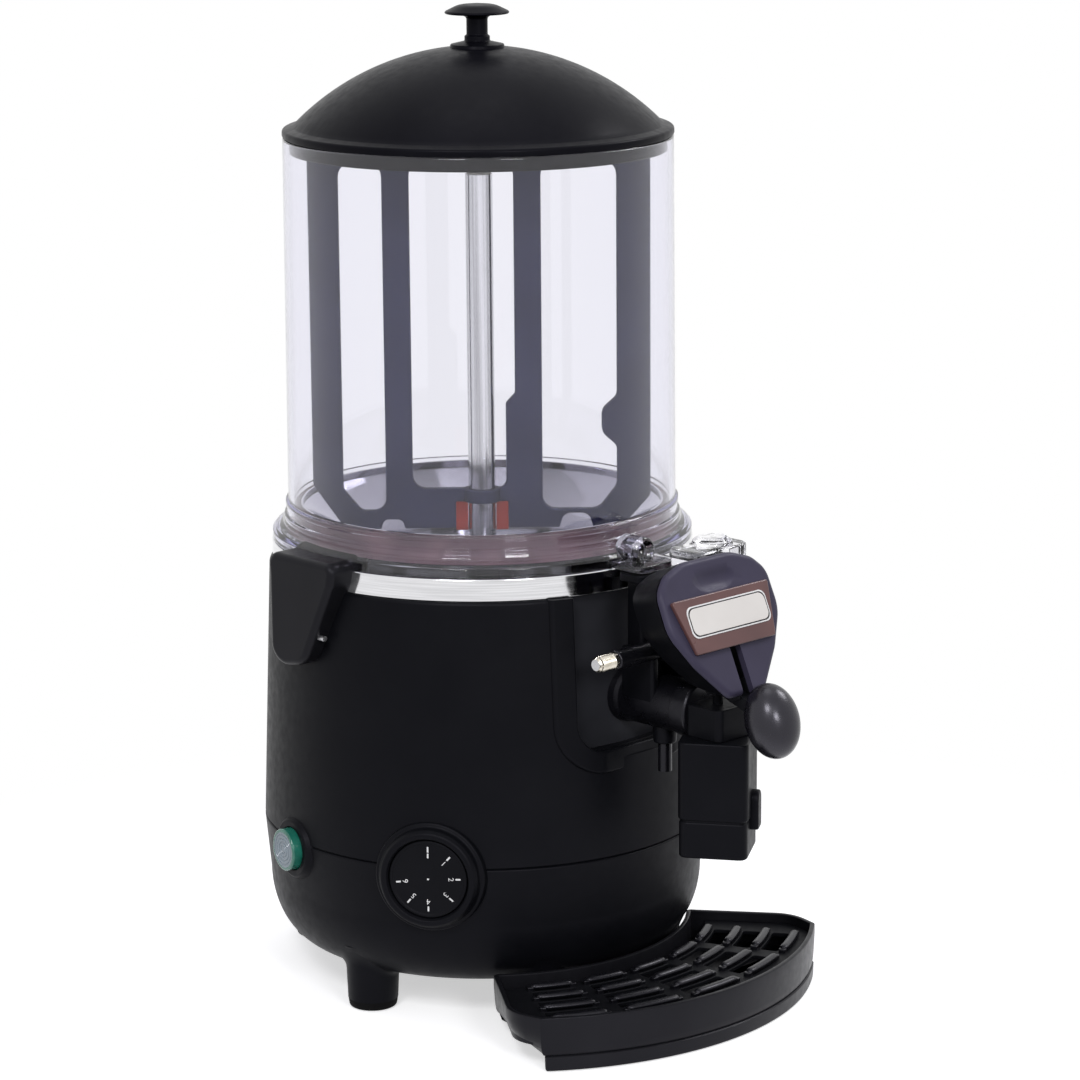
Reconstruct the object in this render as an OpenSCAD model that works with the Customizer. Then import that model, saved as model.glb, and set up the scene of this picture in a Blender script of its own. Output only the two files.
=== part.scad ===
// Hot chai dispenser with a clear jar, a bain-marie, a stirrer and a lever tap.
// All sizes are in millimetres. Z is up, the floor is z = 0 and the tap looks along -Y.
// Each sub-part is drawn about the upright axis of the machine and then moved by on_axis().

/* [Body] */
// Radius of the body at its seam
body_seam_r = 133; // [131:0.5:135]
// Radius of the body at its top edge
body_top_r = 127; // [126.5:0.5:129]
// Wall of the housing and of the base
body_wall = 3; // [2.5:0.25:3.5]
// Height of the underside of the base
base_floor_z = 24; // [22:1:26]
// Height of the seam between base and housing
seam_z = 98; // [96:1:102]
// Height of the top edge of the housing
body_top_z = 254; // [248:1:262]
// Height of the bright rim of the water tank
band_h = 13; // [11:1:15]
// Radius of the bright rim
band_r = 125; // [124:0.5:126]

/* [Front recess] */
// Half width of the recess behind the tap
recess_half_w = 45; // [43:1:47]
// Height of the recess
recess_depth_z = 92; // [88:1:96]
// Radius of the lower corners of the recess
recess_corner = 18; // [14:1:24]
// Width of the raised frame round the recess
border_w = 13; // [10:1:15]
// How far the frame stands out of the housing
border_proud = 2; // [1:0.5:3]

/* [Feet and handles] */
// Distance of the front and side feet from the axis
foot_ring_r = 105; // [103:0.5:106]
// Radius of a foot
foot_r = 15.5; // [13:0.5:16]
// Height of the rubber under a foot
pad_h = 5; // [4:0.5:8]
// How far a handle reaches out from the top edge of the body
handle_reach = 13; // [11:0.5:17]
// Width of a handle along its top
handle_top_w = 57; // [50:1:64]
// Height of a handle
handle_h = 67; // [60:1:74]

/* [Jar and lid] */
// Outside radius of the jar above its foot
jar_r = 115; // [114:0.25:116]
// Wall of the jar
jar_wall = 3.3; // [2.8:0.1:3.6]
// Height of the jar
jar_h = 237; // [225:1:250]
// Height of the lid above the jar
lid_h = 53; // [48:1:58]
// Height of the knob above the lid
knob_h = 23; // [20:1:28]
// Radius of the knob
knob_r = 18.8; // [15:0.2:22]

/* [Stirrer] */
// Angle at which the stirrer stands at rest
stirrer_angle = -44; // [-60:1:-30]
// Thickness of the stirrer plate
stirrer_t = 6; // [4:0.5:8]
// Outside radius of the column in the jar
column_r = 8; // [7.5:0.1:8.3]
// Radius of the drive shaft
shaft_r = 4; // [3.5:0.1:4.4]

/* [Tap] */
// Radius of the barrel of the tap
barrel_r = 19; // [17:0.5:20]
// Width of the square spout
spout_w = 36; // [34:0.5:38]
// Distance from the axis to the middle of the spout
spout_f = 190; // [188:0.5:194]
// Distance from the axis to the lever's pivot
pivot_f = 150; // [148.5:0.5:152]
// Lift of the lever in degrees
lever_swing = 20; // [10:1:22]
// Lean of the face of the tap in degrees
shield_tilt = 24; // [22:0.5:26]
// Half width of the face of the tap
shield_half_w = 44; // [42:0.5:47]
// Width of the ball of the lever
ball_w = 31; // [26:0.5:34]
// Height of the ball of the lever
ball_h = 43; // [36:0.5:46]

/* [Controls] */
// Direction of the dial, in degrees from the front
dial_az = -58; // [-62:1:-54]
// Radius of the dial
dial_r = 23; // [20:0.5:24]
// Direction of the button, in degrees from the front
switch_az = -102; // [-106:1:-99]
// Radius of the button
button_r = 12.5; // [10:0.5:13]

/* [Drip tray] */
// Height of the drip tray
tray_h = 32; // [30:1:36]
// Half width of the drip tray
tray_half_w = 122; // [116:1:128]
// Radius of the tray's front edge
tray_front_r = 180; // [172:1:186]
// Distance from the axis to the tray's front edge
tray_front_f = 206; // [203:1:212]
// Thickness of the grid
grid_t = 4.5; // [3.5:0.5:6]
// Rows of slots in the grid
slot_rows = 5; // [3:1:6]

/* [Hidden] */

$fn = 96;
eps = 0.01;
slip = 0.3;
run_gap = 0.06;
fit_gap = 0.05;

// Body
handle_face = body_top_r + handle_reach;
bowl_corner_r = 28.5;
bowl_corner_h = 38;
bowl_bottom_r = body_seam_r - bowl_corner_r;
bowl_side_z = base_floor_z + bowl_corner_h;
bowl_side_r = body_seam_r - 1.5;
bowl_turn_r = bowl_side_r - bowl_bottom_r;
band_top_z = body_top_z + band_h;
seam_bevel = 0.9;
tank_r = body_top_r - 9.5;
tank_t = 1;
tank_floor_z = body_top_z - 64;
tank_tube_r = column_r + 2;
lip_r = tank_r + 0.6;
liner_r = lip_r + 2.2;
recess_z = body_top_z - recess_depth_z;
cut_f = body_seam_r - 33;

// Jar, its steel floor and its outlet
jar_base_z = band_top_z;
jar_top_z = jar_base_z + jar_h;
jar_top_r = jar_r - 1;
flange_r = jar_r + 9.6;
flange_h = 4;
flare_r = 14;
flare_z = jar_base_z + flange_h + flare_r;
flare_mid_r = jar_r + flare_r;
dish_t = 1.2;
dish_z = jar_base_z - 2;
dish_rim_r = jar_r - jar_wall - 4.2;
dish_flat_r = dish_rim_r - 29.5;
dish_rim_z = flare_z + 4;
dish_cone_z = flare_z;
spout_root_f = dish_rim_r - 3.5;
riser_f = liner_r + 6.7;
drop_f = riser_f + 7.5;
drop_r = 5;
tap_bolt_f = drop_f + 2.5;
tap_head_r = 3.6;
tongue_half_w = 24;
tongue_front_f = drop_f + 15.5;
tongue_t = 4;
lug_x = 27;
lug_half_w = 23;
lug_deep = 25;
lug_h = 12;
outlet_z = jar_base_z + 8;
outlet_r = 4.5;
boss_r = outlet_r + 4;
boss_front_f = drop_f + 9.5;

// Lid
plug_h = 8.4;
plug_r = jar_top_r - jar_wall - 0.5;
lid_wall = 3;
lid_lip_r = jar_top_r + 0.2;
lid_lip_h = 6;
dome_r = lid_lip_r - 6.5;
dome_base_z = jar_top_z + lid_lip_h;
dome_rise = lid_h - lid_lip_h;
dome_ball_r = (dome_r * dome_r + dome_rise * dome_rise) / (2 * dome_rise);
dome_mid_z = jar_top_z + lid_h - dome_ball_r;
lid_top_z = jar_top_z + lid_h;

// Stirrer, its column and its drive
column_top_z = jar_top_z - 23;
column_foot_z = tank_floor_z + 46;
hub_z = column_top_z + 2;
hub_h = 14;
hub_r = 11;
hex_r = shaft_r - 0.1;
hex_h = 12;
stirrer_foot_z = dish_z + 5;
stirrer_bar_h = 24;
stirrer_window_h = 15;
stirrer_reach = dish_rim_r - dish_t - 6;
collar_z = stirrer_foot_z + 16;
collar_h = 8;
bracket_z = tank_floor_z - 26;
bracket_t = 3;
gearbox_r = 32;
gearbox_h = 34;
motor_r = 27;
motor_h = 52;
spacer_ring_r = 46;
heater_ring_r = tank_r - 37.5;
heater_tube_r = 4;

// Tap
pivot_z = body_top_z - 31.5;
barrel_z = body_top_z - 65;
riser_half_w = 15;
riser_deep = 2 * drop_r + 4.2;
riser_top_z = jar_base_z - 1.5;
spout_corner = 6;
spout_top_z = pivot_z - 26;
spout_foot_z = barrel_z - 82;
nozzle_h = 16;
spout_h = spout_top_z - spout_foot_z - nozzle_h;
valve_bore_r = 11;
valve_seat_z = barrel_z - 26;
barrel_bore_r = 5.5;
stem_r = 3;
piston_r = valve_bore_r - 1;
cap_t = 5;
pin_r = 3.2;
pin_half = 58;
sleeve_half = 43;
sleeve_r = 5.75;
lever_half_w = 8;
cheek_t = 3.5;
lever_half_h = 3.5;
hub_eye_r = 7.5;
ball_f = spout_f + 41;
ball_z = pivot_z - 28.5;
lever_drop = atan((pivot_z - ball_z) / (ball_f - pivot_f));
arm_run = spout_f - pivot_f;
joint_z = pivot_z - arm_run * tan(lever_drop);
joint_rise = arm_run * (tan(lever_drop) - tan(lever_drop - lever_swing));
cross_pin_r = 1.5;
shield_face_f = spout_f + 9.2;
lug_front_f = shield_face_f - 28.2;
shield_face_z = body_top_z - 14;
shield_t = 4;
shield_deep = 24;
hood_taper = 0.8;
hood_rise = 15.6;
shield_top_v = 44.5;
shield_tip_v = -36;
shield_tip_w = 16;
slot_half = 5.2;
slot_run = 20 - shield_tip_v - 11.5;
plaque_t = 3;
label_t = 0.8;

// Controls
control_z = seam_z - 4.5;
control_back_f = body_seam_r - 47;
bezel_back_f = body_seam_r - 17;
pocket_f = bezel_back_f + 3;
dial_face = body_seam_r + 7.5;
dial_bezel_r = dial_r + 9;
dial_sleeve_r = dial_r + 4;
switch_face = body_seam_r + 2;
switch_bezel_r = button_r + 8;
switch_sleeve_r = button_r + 4;
button_proud = 5.5;
gland_z = base_floor_z + 34;
gland_bore_r = 4;
gland_r = 8;

// Tray
tray_arc_f = tray_front_f - tray_front_r;
tray_gap_r = body_seam_r - 3.8;
tray_foot_gap = 2;
tray_base_h = 9;
tray_wall = 3;
grid_z = tray_h - 1.5 - grid_t;
tray_floor_t = 3;

// The front-most point is the ball of the lever and the rear-most is the cord gland.
back_reach = body_seam_r + 5;
front_reach = ball_f + ball_w / 2 + 1;
axis_y = (front_reach - back_reach) / 2;

// Each pair of feet has its azimuth from the front and its distance from the axis.
foot_spots = [[28, foot_ring_r], [84, foot_ring_r], [161, foot_ring_r + 12]];
foot_top_z = base_floor_z + 10;
stud_r = 4;
stud_top_z = base_floor_z + 22;
screw_azimuths = [-125, -60, 60, 125];
screw_ring_r = bowl_bottom_r - 26.5;

function wall_r(z) = body_seam_r + (body_top_r - body_seam_r) * (z - seam_z) / (body_top_z - seam_z);
function bowl_curve(inset) = [for (a = [90:-9:0])
    [bowl_bottom_r + (bowl_turn_r - inset) * cos(a), bowl_side_z - (bowl_corner_h - inset) * sin(a)]];
function flare_point(radius, a) = [flare_mid_r - radius * cos(a), flare_z - radius * sin(a)];
function flare_curve(radius, a0, a1) = [for (i = [0:8]) flare_point(radius, a0 + (a1 - a0) * i / 8)];
function dome_point(radius, a) = [radius * sin(a), dome_mid_z + radius * cos(a)];
function dome_curve(radius, a1) = [for (i = [0:14]) dome_point(radius, a1 * i / 14)];

module on_axis() translate([0, axis_y, 0]) children();

// Children's +Z points outward from the axis at an azimuth counted from the front toward +X.
module facing(az, z) translate([0, 0, z]) rotate([0, 0, az - 90]) rotate([0, 90, 0]) children();

// Children are drawn as (x, height, distance to the front).
module forward() rotate([90, 0, 0]) children();

// Children are drawn as (x, distance to the front) seen from above, and raised to z.
module plan(z) translate([0, 0, z]) mirror([0, 1, 0]) children();

module across(f, z, half) translate([-half, -f, z]) rotate([0, 90, 0]) children();

// Children are drawn on the tilted face of the tap: x, up the face, out of the face.
module on_face() translate([0, -shield_face_f, shield_face_z]) rotate([90 - shield_tilt, 0, 0]) children();

module tube(r, bore, h) {
    difference() {
        cylinder(r = r, h = h);
        translate([0, 0, -1]) cylinder(r = bore, h = h + 2);
    }
}

module ring_band(r_in, r_out, z0, z1) {
    rotate_extrude() translate([r_in, z0]) square([r_out - r_in, z1 - z0]);
}

module rounded_square(w, d, r) {
    square([w - 2 * r, d], center = true);
    square([w, d - 2 * r], center = true);
    for (x = [-1, 1], y = [-1, 1]) translate([x * (w / 2 - r), y * (d / 2 - r)]) circle(r);
}

module hex(r, h) cylinder(r = r, h = h, $fn = 6);

// Everything inside the outside face of the housing and bowl, for parts that sit on that face.
module body_envelope(grow) {
    rotate_extrude() polygon(concat(
        [[0, base_floor_z - grow]],
        bowl_curve(-grow),
        [[body_seam_r + grow, seam_z], [body_top_r + grow, body_top_z], [0, body_top_z]]));
}

// The U of the front recess in x and height, widened by grow.
module recess_shape(grow) {
    mid_x = recess_half_w - recess_corner;
    mid_z = recess_z + recess_corner;
    turn = recess_corner + grow;
    for (s = [-1, 1]) translate([s * mid_x, mid_z]) circle(turn);
    translate([-mid_x, mid_z - turn]) square([2 * mid_x, turn]);
    translate([-mid_x - turn, mid_z]) square([2 * (mid_x + turn), body_top_z + 20 - mid_z]);
}

module recess_block(grow) {
    forward() translate([0, 0, cut_f - 10]) linear_extrude(60) recess_shape(grow);
}

module control_holes() {
    facing(dial_az, control_z) translate([0, 0, cut_f]) cylinder(r = dial_sleeve_r + fit_gap, h = 50);
    facing(switch_az, control_z) translate([0, 0, cut_f]) cylinder(r = switch_sleeve_r + fit_gap, h = 50);
}

module upper_housing() color("#17171b") on_axis() {
    lip_t = 3;
    difference() {
        union() {
            rotate_extrude() polygon([
                [body_seam_r - body_wall, seam_z],
                [body_seam_r - seam_bevel, seam_z],
                [body_seam_r, seam_z + seam_bevel],
                [body_top_r, body_top_z - 2],
                [body_top_r - 1, body_top_z],
                [lip_r, body_top_z],
                [lip_r, body_top_z - lip_t],
                [body_top_r - body_wall, body_top_z - lip_t]]);
            recess_border();
        }
        recess_block(0);
        control_holes();
    }
    recess_liner();
}

// The raised frame round the recess follows the slope of the housing.
module recess_border() {
    intersection() {
        recess_block(border_w);
        rotate_extrude() polygon([
            [wall_r(seam_z + 20) - 1, seam_z + 20],
            [wall_r(seam_z + 20) + border_proud, seam_z + 20],
            [body_top_r + border_proud, body_top_z - 1.5],
            [body_top_r + border_proud - 1, body_top_z],
            [body_top_r - 2.5, body_top_z]]);
    }
}

module recess_liner() {
    intersection() {
        recess_block(2);
        ring_band(lip_r, liner_r, recess_z - 4, body_top_z);
    }
    intersection() {
        difference() {
            recess_block(2);
            recess_block(0);
        }
        ring_band(lip_r, body_top_r - 1.5, recess_z - 4, body_top_z);
    }
}

module lower_base() color("#141418") on_axis() {
    difference() {
        union() {
            rotate_extrude() polygon(concat(
                [[0, base_floor_z]],
                bowl_curve(0),
                [[body_seam_r, seam_z - seam_bevel], [body_seam_r - seam_bevel, seam_z],
                    [body_seam_r - body_wall, seam_z]],
                [for (i = [10:-1:0]) bowl_curve(body_wall)[i]],
                [[0, base_floor_z + body_wall]]));
            spigot_ring();
            intersection() {
                at_feet() translate([0, 0, base_floor_z])
                    cylinder(r = stud_r + 4, h = stud_top_z - base_floor_z);
                body_envelope(-1);
            }
            facing(180, gland_z) translate([0, 0, body_seam_r - 14]) cylinder(r = gland_r + 3, h = 12);
        }
        control_holes();
        at_feet() cylinder(r = stud_r + fit_gap, h = stud_top_z + 1);
        at_screws() translate([0, 0, base_floor_z - 1]) cylinder(r = 2.2, h = body_wall + 2);
        facing(180, gland_z) translate([0, 0, cut_f]) cylinder(r = gland_r + fit_gap, h = 50);
        for (i = [-4:4]) translate([i * 9 - 2, -30, base_floor_z - 1]) cube([4, 60, body_wall + 2]);
    }
    at_screws() translate([0, 0, base_floor_z + body_wall - eps]) tube(5, 2.2, 12);
}

// A collar inside the seam lines up the two shells.
module spigot_ring() {
    r_out = body_seam_r - body_wall - 0.5;
    rotate_extrude() polygon([
        [r_out - 2, seam_z - 8], [r_out + 1.2, seam_z - 6], [r_out + 1.2, seam_z - 1], [r_out, seam_z],
        [r_out, seam_z + 5], [r_out - 2, seam_z + 5]]);
}

module at_feet() {
    for (spot = foot_spots, side = [-1, 1])
        translate([side * spot[1] * sin(spot[0]), -spot[1] * cos(spot[0]), 0]) children();
}

module at_screws() {
    for (az = screw_azimuths) translate([screw_ring_r * sin(az), -screw_ring_r * cos(az), 0]) children();
}

// Each foot fits the curve of the base and is held by a stud in a boss of the base.
module feet() color("#141418") on_axis() {
    difference() {
        at_feet() translate([0, 0, pad_h]) cylinder(r1 = foot_r - 0.8, r2 = foot_r, h = foot_top_z - pad_h);
        body_envelope(fit_gap);
        at_feet() translate([0, 0, -1]) cylinder(r = 5 + fit_gap, h = pad_h + 8);
    }
    at_feet() translate([0, 0, base_floor_z - 6]) cylinder(r = stud_r, h = stud_top_z - base_floor_z + 6);
}

module foot_pads() color("#202024") on_axis() at_feet() {
    cylinder(r1 = foot_r - 1.6, r2 = foot_r - 0.8, h = pad_h);
    cylinder(r = 5, h = pad_h + 6);
}

module base_screws() color("#b8bcc2") on_axis() at_screws() {
    translate([0, 0, base_floor_z - 2.5]) cylinder(r = 4, h = 2.5);
    translate([0, 0, base_floor_z - 1]) cylinder(r = 2.1, h = 14);
}

// Half outline of a side handle in depth and height: flat top, round tip below.
module handle_outline() {
    top_z = band_top_z + 6;
    corner = 5;
    back = 6.5;
    tip_r = 13;
    hull() {
        for (s = [-1, 1]) translate([back + s * (handle_top_w / 2 - corner), top_z - corner])
            circle(corner, $fn = 32);
        translate([back + 4, top_z - handle_h + tip_r]) circle(tip_r, $fn = 48);
    }
}

module handles() color("#17171b") on_axis() {
    for (side = [0, 1]) mirror([side, 0, 0]) difference() {
        rotate([90, 0, 90]) translate([0, 0, body_top_r - 14])
            linear_extrude(handle_reach + 14) handle_outline();
        body_envelope(fit_gap);
        translate([0, 0, body_top_z - 1]) cylinder(r = band_r + 0.6, h = 60);
        handle_screw_hole(fit_gap);
    }
}

module handle_screw_hole(grow) {
    translate([handle_face - 6, -8, band_top_z - 40]) rotate([-90, 0, 0]) cylinder(r = 1.6 + grow, h = 16);
}

module handle_screws() color("#c8ccd2") on_axis() {
    for (side = [0, 1]) mirror([side, 0, 0]) handle_screw_hole(0);
}

// The pan hangs from a flange on the housing, and the flange carries the bright rim.
module water_tank() color("#c9ced6") on_axis() {
    rim_in = band_r - 1.5;
    rotate_extrude() polygon([
        [tank_tube_r - tank_t, tank_floor_z],
        [tank_tube_r - tank_t, body_top_z + 3],
        [tank_tube_r, body_top_z + 3],
        [tank_tube_r, tank_floor_z + tank_t],
        [tank_r - tank_t, tank_floor_z + tank_t],
        [tank_r - tank_t, body_top_z + tank_t],
        [tank_r, body_top_z + tank_t],
        [tank_r, tank_floor_z]]);
    ring_band(min(tank_r - tank_t, rim_in), max(tank_r, band_r), body_top_z, body_top_z + tank_t);
    rotate_extrude() polygon([
        [rim_in, body_top_z],
        [rim_in, band_top_z],
        [band_r - 0.3, band_top_z],
        [band_r, band_top_z - 0.5],
        [band_r, body_top_z]]);
}

// A tubular element bent to a ring lies under the tank, with both ends turned down.
module heater() color("#6f6a66") on_axis() {
    open = 24;
    heater_z = tank_floor_z - heater_tube_r - fit_gap;
    translate([0, 0, heater_z]) rotate([0, 0, 90 + open / 2])
        rotate_extrude(angle = 360 - open) translate([heater_ring_r, 0]) circle(heater_tube_r, $fn = 48);
    for (s = [-1, 1]) rotate([0, 0, 90 + s * open / 2]) translate([heater_ring_r, 0, heater_z - 24]) {
        cylinder(r = heater_tube_r + 0.4, h = 24 + heater_tube_r);
        translate([0, 0, -10]) cylinder(r = 1.6, h = 12);
    }
}

module at_spacers() {
    for (i = [0:2]) rotate([0, 0, 30 + i * 120]) translate([spacer_ring_r, 0, 0]) children();
}

module tank_spacers() color("#aeb4bb") on_axis() at_spacers() {
    translate([0, 0, bracket_z]) hex(6, tank_floor_z - bracket_z);
    translate([0, 0, bracket_z - bracket_t - 5]) cylinder(r = 2.5, h = bracket_t + 6);
}

module motor_bracket() color("#9aa0a8") on_axis() {
    difference() {
        translate([0, 0, bracket_z - bracket_t]) cylinder(r = spacer_ring_r + 12, h = bracket_t);
        translate([0, 0, bracket_z - bracket_t - 1]) cylinder(r = shaft_r + 6, h = bracket_t + 2);
        at_spacers() translate([0, 0, bracket_z - bracket_t - 1]) cylinder(r = 2.6, h = bracket_t + 2);
    }
}

module bracket_nuts() color("#c8ccd2") on_axis() at_spacers() {
    translate([0, 0, bracket_z - bracket_t - 4]) difference() {
        hex(4.6, 4);
        translate([0, 0, -1]) cylinder(r = 2.6, h = 6);
    }
}

module gearbox() color("#8b9098") on_axis() {
    top_z = bracket_z - bracket_t;
    difference() {
        translate([0, 0, top_z - gearbox_h]) cylinder(r = gearbox_r, h = gearbox_h);
        translate([0, 0, top_z - 18]) cylinder(r = shaft_r + run_gap, h = 20);
    }
}

module motor() color("#3c4048") on_axis() {
    top_z = bracket_z - bracket_t - gearbox_h;
    translate([0, 0, top_z - motor_h]) cylinder(r = motor_r, h = motor_h);
    translate([0, 0, top_z - motor_h - 5]) cylinder(r = 9, h = 6);
}

module drive_shaft() color("#d4d7dc") on_axis() {
    foot_z = bracket_z - bracket_t - 17;
    translate([0, 0, foot_z]) cylinder(r = shaft_r, h = column_top_z - foot_z + 2);
    translate([0, 0, column_top_z + 1]) rotate([0, 0, stirrer_angle]) hex(hex_r, hex_h);
}

module thermostat() color("#d8d2c4") on_axis() facing(dial_az, control_z) {
    difference() {
        translate([0, 0, control_back_f]) cylinder(r = 18, h = bezel_back_f - 1 - control_back_f);
        translate([0, 0, control_back_f + 10]) cylinder(r = 3 + run_gap, h = 30);
    }
    translate([0, -5, control_back_f - 6]) cube([1, 10, 8]);
}

// A round cup set into the body wall; its outside flare is cut to the face of the body.
module control_bezel(az, face, bezel_r, sleeve_r, pocket_r, spindle_r) {
    difference() {
        union() {
            difference() {
                facing(az, control_z) translate([0, 0, body_seam_r - 12])
                    cylinder(r1 = bezel_r + 2, r2 = bezel_r - 1.5, h = face - body_seam_r + 12);
                body_envelope(fit_gap);
            }
            facing(az, control_z) translate([0, 0, bezel_back_f])
                cylinder(r = sleeve_r, h = face - 2 - bezel_back_f);
        }
        facing(az, control_z) {
            translate([0, 0, pocket_f]) cylinder(r = pocket_r, h = 60);
            translate([0, 0, cut_f]) cylinder(r = spindle_r, h = 40);
        }
    }
}

module dial_bezel() color("#141418") on_axis() {
    control_bezel(dial_az, dial_face - 1.5, dial_bezel_r, dial_sleeve_r, dial_r + 0.5, 3.5);
}

module thermostat_dial() color("#1b1b1f") on_axis() facing(dial_az, control_z) {
    translate([0, 0, pocket_f + 1]) cylinder(r = dial_r, h = dial_face - 2.5 - pocket_f);
    translate([0, 0, dial_face - 1.5]) cylinder(r1 = dial_r, r2 = dial_r - 1.2, h = 1.5);
    translate([0, 0, control_back_f + 11]) cylinder(r = 3, h = pocket_f - control_back_f - 9);
}

module switch_bezel() color("#141418") on_axis() {
    control_bezel(switch_az, switch_face, switch_bezel_r, switch_sleeve_r, button_r + 0.4, 4.5);
}

module switch_body() color("#26262b") on_axis() facing(switch_az, control_z) {
    difference() {
        translate([-12, -14, control_back_f]) cube([24, 28, bezel_back_f - 0.5 - control_back_f]);
        translate([0, 0, control_back_f + 18]) cylinder(r = 4.5, h = 20);
    }
    for (s = [-1, 1]) translate([-0.5, s * 7 - 2.5, control_back_f - 8]) cube([1, 5, 9]);
}

module power_button() color("#56b13c") on_axis() facing(switch_az, control_z) {
    tip = switch_face + button_proud;
    translate([0, 0, pocket_f + 4]) cylinder(r = button_r, h = tip - 6 - pocket_f);
    translate([0, 0, tip - 2]) cylinder(r1 = button_r, r2 = button_r - 1.5, h = 2);
    translate([0, 0, control_back_f + 24]) cylinder(r = 4, h = pocket_f - control_back_f - 19);
}

module cord_gland() color("#1c1c20") on_axis() facing(180, gland_z) {
    difference() {
        union() {
            translate([0, 0, body_seam_r - 20]) cylinder(r = gland_r, h = 22);
            translate([0, 0, body_seam_r - 1]) cylinder(r1 = gland_r + 4, r2 = gland_r - 1, h = 6);
        }
        translate([0, 0, body_seam_r - 22]) cylinder(r = gland_bore_r, h = 40);
    }
}

module terminal_block() color("#e4e0d2") on_axis() {
    floor_z = base_floor_z + body_wall;
    difference() {
        translate([-18, 68, floor_z]) cube([36, 14, 16]);
        for (i = [-1:1]) translate([i * 11, 75, floor_z + 8]) cylinder(r = 3, h = 10);
    }
}

// The space inside the jar wall, used to keep the outlet out of it.
module jar_inside() {
    rotate_extrude() polygon(concat(
        [[0, jar_base_z - 2], [flare_point(flare_r + jar_wall, 54)[0], jar_base_z - 2]],
        flare_curve(flare_r + jar_wall, 54, 0),
        [[jar_top_r - jar_wall, jar_top_z + 2], [0, jar_top_z + 2]]));
}

module jar() color("#cfd0ea", 0.35) on_axis() {
    difference() {
        union() {
            rotate_extrude() polygon(concat(
                [[jar_top_r - jar_wall, jar_top_z], [jar_top_r, jar_top_z]],
                flare_curve(flare_r, 0, 70),
                [[flange_r, jar_base_z + flange_h - 0.6], [flange_r, jar_base_z],
                    [flare_point(flare_r + jar_wall, 54)[0], jar_base_z]],
                flare_curve(flare_r + jar_wall, 54, 0)));
            outlet_spout();
        }
        outlet_bores();
        at_tap_screws() translate([0, 0, jar_base_z - 1]) cylinder(r = 2.1, h = tongue_t + 2);
        at_tap_screws() translate([0, 0, jar_base_z + tongue_t + eps])
            cylinder(r = tap_head_r + slip, h = lug_h + 8);
        at_shield_screws() translate([0, 0, -lug_deep - 1]) cylinder(r = 2.1, h = lug_deep + 2);
    }
}

// A clear tongue of the foot carries the outlet boss above the tap, and a lug that holds the head.
module outlet_spout() {
    difference() {
        union() {
            plan(jar_base_z) translate([0, (spout_root_f + tongue_front_f) / 2])
                linear_extrude(tongue_t) rounded_square(2 * tongue_half_w, tongue_front_f - spout_root_f, 6);
            plan(jar_base_z) translate([lug_x, lug_front_f - lug_deep / 2])
                linear_extrude(lug_h) rounded_square(2 * lug_half_w, lug_deep, 9);
            plan(jar_base_z) translate([lug_x - lug_half_w, boss_front_f - 14])
                cube([lug_half_w, lug_front_f - boss_front_f, tongue_t]);
            translate([lug_x + 4, -lug_front_f + 14, jar_base_z + lug_h]) cylinder(r1 = 11, r2 = 8, h = 5);
            intersection() {
                union() {
                    forward() translate([0, outlet_z, spout_root_f])
                        cylinder(r = boss_r, h = boss_front_f - spout_root_f);
                    translate([0, -drop_f, jar_base_z]) cylinder(r = boss_r, h = outlet_z - jar_base_z);
                }
                translate([-boss_r, -boss_front_f, jar_base_z]) cube([2 * boss_r, 60, 2 * boss_r]);
            }
        }
        jar_inside();
    }
}

// The way through the wall, the seat of the outlet seal and the drop to the tap.
module outlet_bores() {
    forward() translate([0, outlet_z, spout_root_f])
        cylinder(r = outlet_r + 1 + fit_gap, h = flange_r + 5 - spout_root_f);
    forward() translate([0, outlet_z, flange_r + 0.2]) cylinder(r = outlet_r + 2, h = 4);
    forward() translate([0, outlet_z, flange_r]) cylinder(r = outlet_r, h = drop_f - flange_r);
    translate([0, -drop_f, jar_base_z - 1]) cylinder(r = drop_r - 0.5, h = outlet_z - jar_base_z + 1);
}

module floor_dish() color("#c3c8d0") on_axis() {
    difference() {
        union() {
            rotate_extrude() polygon([
                [column_r + fit_gap, dish_z - dish_t],
                [dish_flat_r, dish_z - dish_t],
                [dish_rim_r, dish_cone_z - dish_t],
                [dish_rim_r, dish_rim_z],
                [dish_rim_r - dish_t, dish_rim_z],
                [dish_rim_r - dish_t, dish_cone_z],
                [dish_flat_r - 0.4, dish_z],
                [column_r + fit_gap, dish_z]]);
            forward() translate([0, outlet_z, dish_flat_r + 8])
                cylinder(r = outlet_r + 1, h = flange_r - 4 - dish_flat_r);
        }
        forward() translate([0, outlet_z, dish_flat_r + 2]) cylinder(r = outlet_r, h = 60);
        dish_inside();
    }
}

module dish_inside() {
    rotate_extrude() polygon([
        [0, dish_z], [dish_flat_r - 0.4, dish_z], [dish_rim_r - dish_t, dish_cone_z],
        [dish_rim_r - dish_t, dish_rim_z + 1], [0, dish_rim_z + 1]]);
}

module dish_gasket() color("#c02a20") on_axis() {
    seal_r = flare_r + jar_wall + 0.1;
    difference() {
        rotate_extrude() polygon(concat(
            [[dish_rim_r + fit_gap, dish_rim_z - 1]],
            [[flare_point(seal_r, 0)[0], dish_rim_z - 1]],
            flare_curve(seal_r, 0, 48),
            [[dish_rim_r - 1, jar_base_z + 3], [dish_rim_r + fit_gap, dish_cone_z - 3]]));
        forward() translate([0, outlet_z, dish_flat_r + 12]) cylinder(r = outlet_r + 1 + fit_gap, h = 40);
    }
}

module column_tube() color("#d9dce1") on_axis() {
    translate([0, 0, column_foot_z]) tube(column_r, column_r - 1, column_top_z - column_foot_z);
}

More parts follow.
